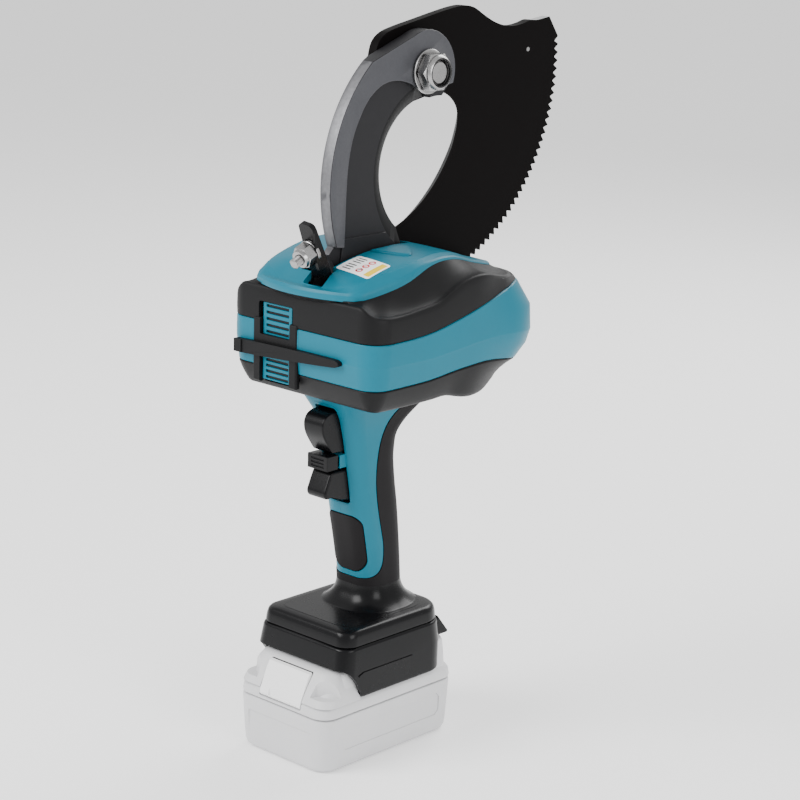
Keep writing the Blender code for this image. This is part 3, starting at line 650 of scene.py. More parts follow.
lever_outline = ([(1, -6), (14, -6), (14, 9)] + arc((9.5, 26), 3.6, 0, 75, 6)
                 + arc((5.6, 27), 3.2, 95, 180, 6)
                 + [(1, 9)])
lever = plate("lever_plate", lever_outline, "y", -1.6, 1.6)
flange = plate("flange", [(-1.4, 2.5), (-6.2, 3.5), (-6.0, 9), (-4.0, 17), (-1.4, 25)], "x", 11.9, 14)
combine(lever, flange, "UNION")
flange = plate("flange", [(-1.4, 2.5), (-5.0, 3.5), (-4.6, 6), (-2.8, 11), (-1.4, 14)], "x", 1, 3)
combine(lever, flange, "UNION")
stud_place = (7.5, 13)
combine(lever, turned_piece("hole", "y", stud_place, [(-4, 3.4), (4, 3.4)], 24))
dress(round_edges(leaned(lever), 0.45, 3), "black_steel", ["release_lever"], "lever", gloss_black)
stud = threaded("lever_stud_thread", "y", stud_place, 3.0, -17.5, -1.0, 1.0)
head = turned_piece("head", "y", stud_place, [(-2.4, 2.8), (1.6, 2.8), (1.7, 3.1), (3.2, 3.1), (3.4, 2.8)])
dress(leaned(combine(stud, head, "UNION")), "bright_steel", ["lever_stud"], "lever")
ring = turned_piece("lever_washer_ring", "y", stud_place, [(-4, 6.9), (-3.7, 7.2), (-2.2, 7.2), (-1.9, 6.9)])
combine(ring, turned_piece("hole", "y", stud_place, [(-5, 3.3), (0, 3.3)], 24))
dress(leaned(ring), "bright_steel", ["lever_washer"], "lever")
knob = combine(hexagon("lever_lock_nut", "y", stud_place, 7, -10.4, -4.3),
               turned_piece("collar", "y", stud_place, [(-12.6, 4.6), (-12.2, 5.3), (-10.8, 5.7), (-9, 5.7)]),
               "UNION")
combine(knob, turned_piece("hole", "y", stud_place, [(-14, 3.3), (0, 3.3)], 24))
dress(round_edges(leaned(knob), 0.2, 2), "bright_steel", ["lever_nut"], "lever")

# %% [markdown]
# ## The head: one plan, three bands
#
# Seen from above the head is a rounded rectangle. Its wall is three mouldings stacked up: a black lower
# band, the coloured belt, and a black upper band. Their joints and creases rise and fall along the
# side, so each is a height written as a smooth function of y, and each moulding is a skin wrapped
# through rings that follow the plan.

# %% The plan and its edge heights
HALF_WIDTH = cad_box[1].x / MM
FRONT, REAR = -46.0, 112.0
FRONT_CORNER, REAR_CORNER = 14.0, 38.0


def straight(begin, end, count):
    """Points between two corners of the plan, both left out."""
    return [tuple(a + (b - a) * i / count for a, b in zip(begin, end)) for i in range(1, count)]


def make_plan():
    """(point, outward normal) round the head, from the right side's rear corner."""
    points = []
    for x, y, radius, begin in ((HALF_WIDTH - REAR_CORNER, REAR - REAR_CORNER, REAR_CORNER, 0),
                                (REAR_CORNER - HALF_WIDTH, REAR - REAR_CORNER, REAR_CORNER, 90),
                                (FRONT_CORNER - HALF_WIDTH, FRONT + FRONT_CORNER, FRONT_CORNER, 180),
                                (HALF_WIDTH - FRONT_CORNER, FRONT + FRONT_CORNER, FRONT_CORNER, 270)):
        corner = arc((x, y), radius, begin, begin + 90, 13)
        normals = arc((0, 0), 1, begin, begin + 90, 13)
        if points:
            last, normal = points[-1]
            gap = math.dist(last, corner[0])
            points += [(p, normal) for p in straight(last, corner[0], max(1, round(gap / 4.5)))]
        points += list(zip(corner, normals))
    last, normal = points[-1]
    gap = math.dist(last, points[0][0])
    return points + [(p, normal) for p in straight(last, points[0][0], round(gap / 4.5))]


plan = make_plan()
belt_low = through((-46, 233.5), (-22, 233.5), (2, 234), (28, 236.5), (54, 237.5), (77, 234.5), (95, 231.8),
                   (112, 231))
belt_high = through((-46, 260.5), (-24, 260.5), (1, 262), (26, 267), (50, 273.2), (66, 276.8), (80, 278.4),
                    (112, 278.6))
side_crease = through((-46, 276), (-24, 275.5), (-4, 277.5), (9, 279.5), (19, 284), (30, 288.6), (42, 290.4),
                      (54, 289), (64, 286.4), (76, 284), (92, 282.6), (112, 282.4))
underside = through((-46, 219.5), (-32, 219), (12, 219), (25, 219.4), (38, 216.4), (51, 214.8), (65, 216),
                    (78, 221.5), (87, 225.5), (98, 228.5), (112, 229.3))


def smooth_step(value, low, high):
    t = min(max((value - low) / (high - low), 0.0), 1.0)
    return t * t * (3 - 2 * t)


def crease(x, y):
    """The upper band's crease: along the front it climbs to meet the cover."""
    front = smooth_step(-y, 36, 45) * smooth_step(-abs(x), -58, -46)
    return side_crease(y) + front * 5.2


def tuck(y, z):
    """How far the tail is drawn in: the back of the head is rounded above and below its middle height."""
    away = max(z - 258, 250 - z, 0.0)
    return smooth_step(y, 38, 94) * min(0.022 * away * away, 13)


def head_ring(inset, height):
    """A ring of the plan, moved in along its normals; height is a function of x and y, before the inset."""
    ring = []
    for p, n in plan:
        z = height(*p)
        drawn_in = inset + tuck(p[1], z)
        ring.append((p[0] - n[0] * drawn_in, p[1] - n[1] * drawn_in, z))
    return ring


print("plan:", len(plan), "points")

# %% [markdown]
# The cover's rim is a second plan inside the first, wide at the front and narrow at the back. Every
# point of the head's plan looks toward the head's middle and finds its partner on the rim, so the
# upper band can sweep from its crease up to the cover.

# %% The cover's rim and top
MIDDLE = (0.0, 30.0)
COVER_FRONT, COVER_REAR = -42.6, 96.0
cover_half = through((-42.6, 41), (-35, 43.5), (-24, 46), (-13, 47.8), (-2, 48.4), (8, 47.8), (18, 46.4),
                     (33, 43.6), (48, 40), (62, 35.5), (78, 30), (96, 23))
rim_height = through((-42.6, 282.6), (-35, 283.8), (-24, 286), (-13, 288.8), (-6, 291), (0, 293.4),
                     (8, 296.4),
                     (18, 298.3), (30, 298.3), (40, 297), (48, 295.2), (58, 292.4), (70, 289.4), (80, 287),
                     (96, 283.8))
rim_wall = through((-42.6, 3.4), (0, 3.4), (14, 2.2), (40, 1.4), (96, 1.0))
ridge = through((-42.6, 287), (-40.5, 290.2), (-37, 293.4), (-32, 296), (-26, 297.9), (-16, 300.2),
                (-4, 302.2),
                (10, 303.3), (24, 303.6), (36, 302.4), (48, 299.4), (58, 296.2), (70, 292.6), (80, 289.8),
                (96, 285.6))
CHAMFER, SHOULDER = 5.0, 0.66


def make_rim():
    side = [(cover_half(y), y) for y in np.linspace(COVER_FRONT + 4.5, COVER_REAR - 8, 60)]
    front = arc((cover_half(COVER_FRONT) - 4, COVER_FRONT + 4), 4, 270, 350, 8)
    rear = arc((cover_half(COVER_REAR) - 8, COVER_REAR - 8), 8, 10, 90, 8)
    half = front + side + rear
    return half + [(-x, y) for x, y in reversed(half)]


rim = make_rim()
rim_angles = np.unwrap([math.atan2(y - MIDDLE[1], x - MIDDLE[0]) for x, y in rim])
rim_radii = [math.dist(p, MIDDLE) for p in rim]


def rim_partner(point):
    """The rim's point in the same direction from the head's middle."""
    angle = math.atan2(point[1] - MIDDLE[1], point[0] - MIDDLE[0])
    while angle < rim_angles[0]:
        angle += 2 * math.pi
    radius = np.interp(angle, list(rim_angles) + [rim_angles[0] + 2 * math.pi], rim_radii + [rim_radii[0]])
    return (MIDDLE[0] + radius * math.cos(angle), MIDDLE[1] + radius * math.sin(angle))


partners = [rim_partner(p) for p, n in plan]


def cover_top(x, y):
    """The cover's skin: a slope up from its edge to a crease, then a slow crown across the middle."""
    base = rim_height(y) + rim_wall(y)
    rise = ridge(y) - base
    edge = max(cover_half(y) - abs(x), 0.0)
    if edge < CHAMFER:
        return base + rise * SHOULDER * edge / CHAMFER
    return base + rise * (1 - (1 - SHOULDER) * (abs(x) / (cover_half(y) - CHAMFER)) ** 2.3)


print("rim:", len(rim), "points")


# %% [markdown]
# The upper band is one closed wall. It rises from the belt, turns over the crease, and sweeps in to the
# cover's rim; then it runs back down inside, where nobody sees it.

# %% Upper band
def sweep_ring(share):
    """A ring between the crease (share 0) and the cover's rim (share 1)."""
    ring = []
    for start, (p, n), partner in zip(head_ring(2.4, crease), plan, partners):
        low, high = crease(*p), rim_height(partner[1])
        x, y = (a + (b - a) * share for a, b in zip(start, partner))
        ring.append((x, y, low + (high - low) * share ** 1.7))
    return ring


def shrunk(ring, share, drop):
    return [(MIDDLE[0] + (x - MIDDLE[0]) * share, MIDDLE[1] + (y - MIDDLE[1]) * share, z - drop)
            for x, y, z in ring]


def between(share, low, high):
    return lambda x, y: low(x, y) + (high(x, y) - low(x, y)) * share


def shifted(height, by):
    return lambda x, y: height(x, y) + by


top_edge = shifted(lambda x, y: belt_high(y), 0.15)
upper_rings = [head_ring(2.4, top_edge), head_ring(0.7, top_edge), head_ring(0.15, shifted(top_edge, 0.5)),
               head_ring(0.0, between(0.35, top_edge, crease)),
               head_ring(0.15, between(0.75, top_edge, crease)),
               head_ring(0.45, shifted(crease, -1.6)), head_ring(0.95, shifted(crease, -0.7)),
               head_ring(1.6, shifted(crease, -0.15)), head_ring(2.4, shifted(crease, 0.0))]
upper_rings += [sweep_ring(share) for share in (0.12, 0.25, 0.4, 0.55, 0.7, 0.82, 0.92, 1.0)]
upper_rings += [shrunk(sweep_ring(1.0), 0.985, 0.9), shrunk(sweep_ring(1.0), 0.96, 3.2),
                head_ring(5.0, shifted(crease, -4.5)), head_ring(3.0, between(0.4, top_edge, crease))]
upper_band = wrap("upper_band_shell", upper_rings, loop=True)
vent_hole = box("vent_hole", (-33, -5), (-60, -35), (252.2, 272.2))
combine(upper_band, round_edges(vent_hole, 1.6, 3))
dress(upper_band, "black_plastic", ["upper_band"])

# %% [markdown]
# The belt is the widest moulding. It has a faint edge running round it a third of the way up; below
# that edge it leans in, which is why its lower part looks darker. It is made as a closed ring and then
# parted down the middle, because the real belt is the top of a two-part clamshell.

# %% Belt
LEAN = 1.5
low_edge = shifted(lambda x, y: belt_low(y), 0.15)
high_edge = shifted(lambda x, y: belt_high(y), -0.15)


def waist(x, y):
    """The height of the faint edge: level at the front, and fading back along the side."""
    return belt_low(y) + (belt_high(y) - belt_low(y)) * (0.5 - 0.12 * smooth_step(y, -30, 60))


belt_rings = [head_ring(LEAN + 2.0, low_edge), head_ring(LEAN + 0.6, low_edge),
              head_ring(LEAN + 0.1, shifted(low_edge, 0.5)),
              head_ring(LEAN * 0.5, between(0.55, low_edge, waist)),
              head_ring(0.32, shifted(waist, -1.0)), head_ring(0.1, shifted(waist, -0.1)),
              head_ring(0.02, shifted(waist, 0.6)), head_ring(0.0, between(0.5, waist, high_edge)),
              head_ring(0.12, shifted(high_edge, -0.6)), head_ring(0.6, high_edge), head_ring(2.0, high_edge),
              head_ring(5.0, high_edge), head_ring(5.0 + LEAN, low_edge)]
PARTING = 0.06
for name, node, other_half in (("belt_right", "housing_right", (-90, PARTING)),
                               ("belt_left", "housing_left", (-PARTING, 90))):
    belt = wrap(name, belt_rings, loop=True)
    for way in ((221.0, 241.0), (251.2, 273.0)):
        combine(belt, box("vent_hole", (-33.2, -4.8), (-60, -35), way))
    combine(belt, box("other_half", other_half, (-90, 150), (200, 320)))
    dress(belt, "teal_plastic", [node])

# %% [markdown]
# The lower band is a shallow bowl. Its underside is flat at the front, bulges down behind the grip to
# clear the gears, and sweeps up to the back. The bowl is wrapped from the middle of its outside, up over
# its edge, and back to the middle of its inside, so it is one closed wall.

# %% Lower band
bowl_edge = shifted(lambda x, y: belt_low(y), -0.15)


def floor_height(x, y):
    return underside(y)


def bowl_ring(inset, share):
    """A ring down the bowl's side: share 0 is its edge and 1 its underside."""
    return head_ring(inset, between(share, bowl_edge, floor_height))


def floor_ring(share, lift):
    """A ring of the bowl's bottom, drawn in toward the middle, at the underside's height there."""
    ring = []
    for p, n in plan:
        inset = 12 + tuck(p[1], underside(p[1]))
        x = (p[0] - n[0] * inset) * share
        y = MIDDLE[1] + (p[1] - n[1] * inset - MIDDLE[1]) * share
        ring.append((x, y, underside(y) - 0.8 * (1 - share) + lift))
    return ring


outside = [floor_ring(share, 0.0) for share in (0.1, 0.3, 0.5, 0.65, 0.8, 0.9, 1.0)]
outside += [bowl_ring(10.4, 0.99), bowl_ring(8.7, 0.95), bowl_ring(7.3, 0.86), bowl_ring(5.9, 0.7),
            bowl_ring(4.2, 0.48), bowl_ring(2.9, 0.27), bowl_ring(LEAN + 0.45, 0.1),
            bowl_ring(LEAN + 0.2, 0.045), bowl_ring(LEAN + 0.65, 0.0)]
inside = [bowl_ring(LEAN + 3.0, 0.0), bowl_ring(7.5, 0.4), bowl_ring(10, 0.65), floor_ring(0.9, 2.6),
          floor_ring(0.6, 2.8), floor_ring(0.1, 3.0)]
lower_band = wrap("lower_band_shell", outside + inside)
combine(lower_band, box("vent_hole", (-33, -5), (-60, -35), (223.6, 239)))
dress(lower_band, "black_plastic", ["lower_band"])

# %% [markdown]
# The cover is a lid on the rim. It has a slot for the blade and the jaw, a window for the release lever
# with a relief on its right, where the lever leans when it is tilted, and an oval hole.

# %% Top cover
def cover_ring(share, drop=0.0):
    ring = []
    for x, y in partners:
        x, y = MIDDLE[0] + (x - MIDDLE[0]) * share, MIDDLE[1] + (y - MIDDLE[1]) * share
        ring.append((x, y, cover_top(x, y) - drop))
    return ring


def wall_ring(inset, up):
    """A ring on the cover's side wall, up from the rim."""
    ring = []
    for x, y in partners:
        reach = math.dist((x, y), MIDDLE)
        share = (reach - inset) / reach
        ring.append((MIDDLE[0] + (x - MIDDLE[0]) * share, MIDDLE[1] + (y - MIDDLE[1]) * share,
                     rim_height(y) + rim_wall(y) * up))
    return ring


def inner_ring(inset):
    """A ring on the cover's skin, set in from its edge by a length."""
    ring = []
    for x, y in partners:
        share = 1 - inset / math.dist((x, y), MIDDLE)
        x, y = MIDDLE[0] + (x - MIDDLE[0]) * share, MIDDLE[1] + (y - MIDDLE[1]) * share
        ring.append((x, y, cover_top(x, y)))
    return ring


cover_rings = [cover_ring(share) for share in (0.05, 0.18, 0.32, 0.46, 0.58, 0.68, 0.76, 0.82)]
cover_rings += [inner_ring(inset) for inset in (6.6, 5.5, 5.15, 4.85, 4.3, 3.0, 1.6, 0.9)]
cover_rings += [wall_ring(0.45, 0.96), wall_ring(0.15, 0.86), wall_ring(0.05, 0.7), wall_ring(-0.1, 0.1),
                wall_ring(0.2, -0.2), wall_ring(2.4, -0.25), wall_ring(3.0, 0.4)]
cover_rings += [cover_ring(share, 2.4) for share in (0.9, 0.7, 0.4, 0.05)]
cover = wrap("head_cover", cover_rings)
slot_outline = [(-7.6, -37), (11.4, -37), (11.4, 32), (1.4, 34), (1.4, 118), (-7.6, 118)]
combine(cover, plate("slot", slot_outline, "z", 270, 320))
combine(cover, round_edges(box("lever_window", (0.4, 15), (-44, -33), (286.5, 320)), 1.2, 2))
combine(cover, box("lever_relief", (10.7, 15.4), (-36.3, -30.7), (285, 321)))
combine(cover, wrap("oval", [[(x - 9.5, y - 33, z) for x,
                              y in [(4.4 * math.cos(a), 2.8 * math.sin(a)) for a in
                             np.linspace(0, 2 * math.pi, 25)[:-1]]] for z in (292, 310)]))
dress(cover, "teal_plastic", ["top_cover"])

# %% [markdown]
# The cover carries a pressed wedge that points forward, a small label with a plain pictogram in place
# of the maker's own, and two grilles with a bar across them on the front face.

# %% Wedge and label
def on_cover(x, y, lift):
    return (x, y, cover_top(x, y) + lift)


def patch(name, outline, thickness, sink=0.5):
    """A thin plate draped on the cover. Each ring is the outline drawn in toward its own middle."""
    middle = (sum(p[0] for p in outline) / len(outline), sum(p[1] for p in outline) / len(outline))

    def ring(share, lift):
        return [on_cover(*(m + (c - m) * share for m, c in zip(middle, p)), lift) for p in outline]

    return wrap(name, [ring(s, thickness) for s in (0.04, 0.35, 0.7, 0.94)] + [ring(1.0, thickness * 0.55)]
                + [ring(1.0, -sink)] + [ring(0.6, -sink), ring(0.04, -sink)])


def rounded_patch(x, y, corner, steps=5):
    """A rounded rectangle with extra points along its sides, so it can follow a curved surface."""
    points = []
    for cx, cy, begin in ((x[1] - corner, y[1] - corner, 0), (x[0] + corner, y[1] - corner, 90),
                          (x[0] + corner, y[0] + corner, 180), (x[1] - corner, y[0] + corner, 270)):
        turn = arc((cx, cy), corner, begin, begin + 90, 5)
        if points:
            points += straight(points[-1], turn[0], steps)
        points += turn
    return points + straight(points[-1], points[0], steps)


wedge = spline([(12.6, -1.6), (18, -0.6), (26, 1.6), (33, 4.6), (35.2, 7.6), (32.5, 11.5), (27, 16.5),
                (21, 20.5), (18.4, 20.4), (17, 16), (14.6, 7), (12.6, -1.6)], 4)[:-1]
dress(patch("cover_wedge", wedge, 1.1), "teal_plastic", angle=50)
dress(patch("cover_label", rounded_patch((13, 38.5), (-30.5, -11.5), 1.6), 0.25), "white_plastic")

label_red = moulded("label_red", (0.55, 0.012, 0.02), (0.62, 0.02, 0.03), 0.35, 1.0, 0.0)
label_yellow = moulded("label_yellow", (0.72, 0.5, 0.02), (0.78, 0.56, 0.03), 0.35, 1.0, 0.0)
label_ink = moulded("label_ink", (0.012, 0.012, 0.012), (0.02, 0.02, 0.02), 0.4, 1.0, 0.0)
strip = patch("label_strip", rounded_patch((33.2, 37.6), (-29.2, -12.8), 0.5), 0.34, 0.2)
dress(strip, "white_plastic", finish=label_yellow)
for i, y in enumerate((-26.2, -20.8, -15.6)):
    ring = patch("label_ring_%d" % (i + 1), arc((27.6, y), 2.3, 0, 330, 12), 0.34, 0.2)
    dress(ring, "white_plastic", finish=label_red)
    dot = patch("label_dot_%d" % (i + 1), arc((27.6, y), 1.5, 0, 330, 12), 0.4, 0.2)
    dress(dot, "white_plastic")
    bar = patch("label_bar_%d" % (i + 1),
                [(26.2, y - 1.5), (26.9, y - 1.8), (29.0, y + 1.4), (28.3, y + 1.8)], 0.46, 0.2)
    dress(bar, "white_plastic", finish=label_red if i else label_ink)
for i, y in enumerate((-28, -25.5, -23, -19.5, -17, -14.5)):
    line = patch("label_line_%d" % (i + 1),
                 [(16, y - 0.45), (16, y + 0.45), (22.5, y + 0.45), (22.5, y - 0.45)], 0.34, 0.2)
    dress(line, "white_plastic", finish=label_ink)

# %% [markdown]
# Each grille is a plate with five slots and, behind them, a dark plate that is a painted shadow inside the
# vent. A bar crosses between the two.

# %% Grilles and the bar across them
def front_frame(name, z):
    frame_plate = box(name, (-37, -1), (-46.7, -43.0), z)
    round_edges(frame_plate, 1.2, 3)
    return frame_plate


surround = front_frame("vent_surround", (224.5, 262.5))
for z in ((253.0, 280), (210, 243.6)):
    combine(surround, round_edges(box("way", (-31.2, -6.8), (-60, -30), z), 1.0, 2))
dress(surround, "black_plastic")
for name, node, low, high in (("louvres_upper", "vent_grille_upper", 252.6, 271.6),
                              ("louvres_lower", "vent_grille_lower", 226.0, 243.0)):
    louvres = box(name, (-30.8, -7.2), (-44.4, -41.8), (low, high))
    step = (high - low) / 5.0
    for i in range(5):
        z = low + step * (i + 0.5)
        combine(louvres, box("slot", (-28.3, -9.7), (-50, -42.6), (z - 0.8, z + 0.8)))
    round_edges(louvres, 0.35, 2)
    dress(louvres, "teal_plastic", [node])
    # a dark plate behind the slots: painted shadow inside the vent, not a real part
    dark = box(name + "_shadow", (-28.6, -9.4), (-43.4, -41.2), (low + 1, high - 1))
    dress(dark, "black_plastic", finish=gloss_black)
bar_outline = ([(-50, 240.6), (-44, 239.8)] + spline([(-30, 240.4), (0, 242.2), (29, 244.4), (33, 245.2)], 4)
               + arc((33.4, 246.9), 1.6, -60, 60,
                     7) + spline([(33, 248.6), (29, 249), (0, 249), (-30, 248.4)], 4)
               + [(-44, 247.8), (-50, 247.2)])
front_bar = plate("front_bar_strip", bar_outline, "y", -49.4, -45.6)
end_block = box("end", (-49.6, -43.6), (-50.2, -45.8), (240, 247.6))
combine(front_bar, end_block, "UNION")
round_edges(front_bar, 0.8, 3)
dress(front_bar, "black_plastic", ["front_bar"])

# %% [markdown]
# ## The grip
#
# A hand closes round an egg-shaped section: a tight front, a fuller back. The section's front, back and
# half width are smooth functions of height. The same skin is cut twice: the coloured front is the part
# inside a long outline with a round lower end, and the black rubber is the part outside it.

# %% Grip
grip_front = through((92, 0.5), (107, -0.8), (127, -4.5), (147, -9), (162, -11.5), (181, -15), (192, -17),
                     (199, -18.5), (206, -20.5), (214, -25), (227, -31))
grip_back = through((92, 35.5), (107, 34.4), (127, 32.7), (147, 30.6), (162, 28.4), (181, 27), (192, 29.5),
                    (199, 36), (206, 45), (214, 55), (227, 64))
grip_half = through((92, 17), (107, 17), (127, 16.8), (147, 16.5), (162, 16.3), (181, 16.6), (192, 17),
                    (199, 17.8), (206, 19.5), (214, 22), (227, 26))


def egg(x, y, front_radius, back_radius):
    """A rounded rectangle whose front and back corners differ."""
    points = []
    for cx, cy, radius, begin in ((x[1], y[1], back_radius, 0), (x[0], y[1], back_radius, 90),
                                  (x[0], y[0], front_radius, 180), (x[1], y[0], front_radius, 270)):
        centre = (cx - math.copysign(radius, cx), cy + (radius if begin >= 180 else -radius))
        turn = arc(centre, radius, begin, begin + 90, 9)
        if points:
            points += straight(points[-1], turn[0], 4)
        points += turn
    return points + straight(points[-1], points[0], 4)


def grip_ring(z, inset, spread=0.0):
    front, rear = grip_front(z) + inset - spread, grip_back(z) - inset + spread
    half = grip_half(z) - inset + spread
    return [(x, y, z) for x, y in egg((-half, half), (front, rear), min(11.5 - inset + spread, half - 0.3),
                                      min(15 - inset + spread, half - 0.2))]


def grip_skin(name, inset, wall, low, high):
    heights = np.linspace(low, high, 34)
    return wrap(name, [grip_ring(z, inset) for z in heights]
                + [grip_ring(z, inset + wall) for z in heights[::-1]], loop=True)


def colour_line(margin):
    """The outline of the coloured part seen from the side; a margin moves it outward."""
    line = spline([(-60, 103), (-6, 103), (0.5, 103.3), (4.6, 104.6), (8.0, 107.4), (10.2, 111.4),
                   (11.1, 117),
                   (10.7, 125), (8.8, 134), (6.6, 144), (4.9, 154), (4.0, 164), (4.2, 175), (5.6, 185),
                   (8.4, 194), (13, 202), (20, 208), (34, 213.5), (60, 220), (90, 226)], 5)
    return [(y + margin, z - margin) for y, z in line] + [(90, 240), (-60, 240)]


def pocket(name, grow=0.0):
    return round_edges(box(name, (-8.9 - grow, 8.9 + grow), (-50, 0), (151 - grow, 212.5 + grow)), 3, 3)


pad_outline = egg((-13, 13), (107, 143), 9, 6)
pad_way = egg((-13.6, 13.6), (106.4, 143.6), 9.5, 6.5)
for name, node, x in (("grip_front_right", "housing_right", (0.04, 60)),
                      ("grip_front_left", "housing_left", (-60, -0.04))):
    half_grip = grip_skin(name, 0.0, 3.0, 103, 226.5)
    combine(half_grip, plate("line", colour_line(0.0), "x", *x), "INTERSECT")
    combine(half_grip, pocket("pocket"))
    combine(half_grip, plate("way", pad_way, "y", -60, 6))
    round_edges(half_grip, 0.3, 2, 40)
    dress(half_grip, "teal_plastic", [node])
rubber = grip_skin("rear_rubber", -0.35, 3.35, 91.5, 214)
combine(rubber, plate("line", colour_line(0.35), "x", -60, 60))
round_edges(rubber, 0.35, 2, 40)
dress(rubber, "grip_rubber", ["rear_grip_cover"])
pad = grip_skin("palm_pad_rubber", -0.55, 3.3, 103, 148)
combine(pad, plate("pad_line", pad_outline, "y", -60, 6), "INTERSECT")
round_edges(pad, 0.7, 3, 40)
dress(pad, "grip_rubber", ["palm_pad"])

# %% [markdown]
# The grip's front has a pocket for two triggers. A coloured surround lines it, and a bridge crosses it
# between the triggers, where the lock slides from side to side.

# %% Triggers and lock
surround = grip_skin("trigger_surround", -0.12, 2.6, 148.5, 215)
combine(surround, pocket("inside", 0.9), "INTERSECT")
combine(surround, round_edges(box("opening", (-8.5, 8.5), (-60, 0), (150.4, 211.8)), 1.5, 2))
dress(surround, "teal_plastic")
upper_outline = spline([(-24.5, 184.8), (-27.6, 189), (-31.4, 195), (-33, 199.8), (-32.8, 204),
                        (-30.4, 207.6),
                        (-26, 209.4), (-20, 209.6)], 4) + [(-8, 209.2), (-8, 184.5), (-18, 184.4)]
lower_outline = spline([(-24.6, 157.4), (-28.2, 157.4), (-30, 160.4), (-28.6, 164.6), (-25, 172.6)], 4) + [
    (-23.6, 173.2), (-8, 173.2), (-8, 153.2), (-16, 154.6)]
for name, outline, node, body in (
        ("upper_trigger_button", upper_outline, "upper_trigger", "upper_trigger_body"),
        ("lower_trigger_button", lower_outline, "lower_trigger", "lower_trigger_body")):
    trigger = plate(name, outline, "x", -8, 8)
    round_edges(trigger, 2.0, 4, 40)
    dress(trigger, "gloss_black", [node], body, angle=60)
bridge = box("trigger_bridge", (-8.8, 8.8), (-19.2, -13.5), (174.9, 183.1))
combine(bridge, box("slot", (-7.9, 7.9), (-30, 0), (176, 181.6)))
round_edges(bridge, 0.5, 2)
dress(bridge, "teal_plastic")
lock = box("lock_button", (-8.2, 8.2), (-29, -20), (174.4, 183.2))
for z in (176.6, 178.8, 181.0):
    combine(lock, box("groove", (-5.2, 5.2), (-31, -28.3), (z - 0.45, z + 0.45)))
combine(lock, box("stem", (-4.6, 4.6), (-21, -7), (176.5, 181)), "UNION")
combine(lock, box("cross", (-6, 6), (-9.5, -6), (176.5, 181)), "UNION")
round_edges(lock, 0.8, 3, 40)
dress(lock, "gloss_black", ["lock_slider"], "lock")

# %% [markdown]
# ## Base and battery
#
# The base is two trays, one on the other, with a fine seam between them. The grip's foot flares out and
# flows onto the upper tray. Its skirt is cut back at the front and comes down round the battery's rails.

# %% Base
def base_ring(z, inset):
    """The front leans back: the higher the ring, the further it starts behind the skirt's front."""
    front = -42 + inset + 0.09 * max(z - 60, 0)
    return [(x, y, z) for x, y in egg((-38.5 + inset, 38.5 - inset), (front, 49 - inset), 9, 16)]


base_levels = ((74.4, 2.6), (74.8, 2.0), (75.6, 1.8), (79.6, 2.1), (82.0, 2.6), (83.2, 3.5), (83.8, 4.8),
               (84.1, 7.5), (84.3, 12))
upper_tray = wrap("base_upper", [base_ring(z, inset) for z, inset in base_levels]
                  + [base_ring(z, inset) for z, inset in ((81, 12), (80.5, 5.6), (74.4, 5.0))], loop=True)
foot_levels = [(82.4, 11.5), (84.2, 10.4), (85, 9.0), (86.4, 6.8), (88.4, 4.5), (91, 2.5), (94, 1.2),
               (97, 0.5), (99.2, 0.15)]
foot = wrap("collar", [grip_ring(z, 0, spread) for z, spread in foot_levels]
            + [grip_ring(99.2, 1.2), grip_ring(97, 2.6), grip_ring(82.4, 2.6)], loop=True)
deck = wrap("deck", [base_ring(84.3, 9), base_ring(81, 9)])
combine(deck, wrap("way", [grip_ring(z, 2.4) for z in (78, 92)]))
combine(upper_tray, deck, "UNION")
combine(upper_tray, foot, "UNION")
dress(upper_tray, "gloss_black", ["base_top"], angle=38)

skirt_levels = ((43, 0.7), (43.6, 0.25), (44.6, 0.05), (61, 0.0), (72.4, 1.0), (73.5, 1.3), (74.1, 2.0))
skirt = wrap("base_lower", [base_ring(z, inset) for z, inset in skirt_levels]
             + [base_ring(74.1, 12), base_ring(71.4, 12), base_ring(71.4, 4.6), base_ring(60.4, 4.6),
                base_ring(60.4, 2.4), base_ring(43, 2.4)], loop=True)
cut_back = [(-60, 30), (-24.5, 30), (-26.2, 43), (-31, 52.5), (-36, 58.6), (-39.5, 61.2), (-60, 61.8)]
combine(skirt, plate("front_cut", cut_back, "x", -50, 50))
combine(skirt, box("rear_way", (-36.1, 36.1), (30, 60), (30, 60.3)))
deck = wrap("deck", [base_ring(74.1, 9), base_ring(71.6, 9)])
combine(deck, wrap("way", [grip_ring(z, 5) for z in (70, 92)]))
combine(skirt, deck, "UNION")
wedge_lip = plate("rear_lip", [(47.5, 73.4), (57.5, 61.2), (56, 60.3), (44, 60.3)], "x", -30, 30)
combine(skirt, round_edges(wedge_lip, 0.8, 2), "UNION")
ridge_line = [(-30, 57.0), (-26, 58.6), (16, 58.6), (17, 58.0), (16, 57.4), (-24, 57.4), (-29.4, 56.2)]
for side in (-1, 1):
    low, high = sorted((side * 38.0, side * 39.1))
    skirt_ridge = plate("ridge", ridge_line, "x", low, high)
    combine(skirt, skirt_ridge, "UNION")
round_edges(skirt, 0.35, 2, 40)
dress(skirt, "gloss_black", ["base_skirt"], angle=38)

# %% [markdown]
# The battery is a case, a lid with rails that the skirt takes hold of, and a sloping hood at the front
# that holds the release button.

# %% Battery
def battery_ring(z, inset, front=0.0, corner=10.0):
    return [(x, y, z) for x, y in egg((-37.5 + inset, 37.5 - inset), (-57 + inset + front, 57 - inset),
                                      corner, corner)]


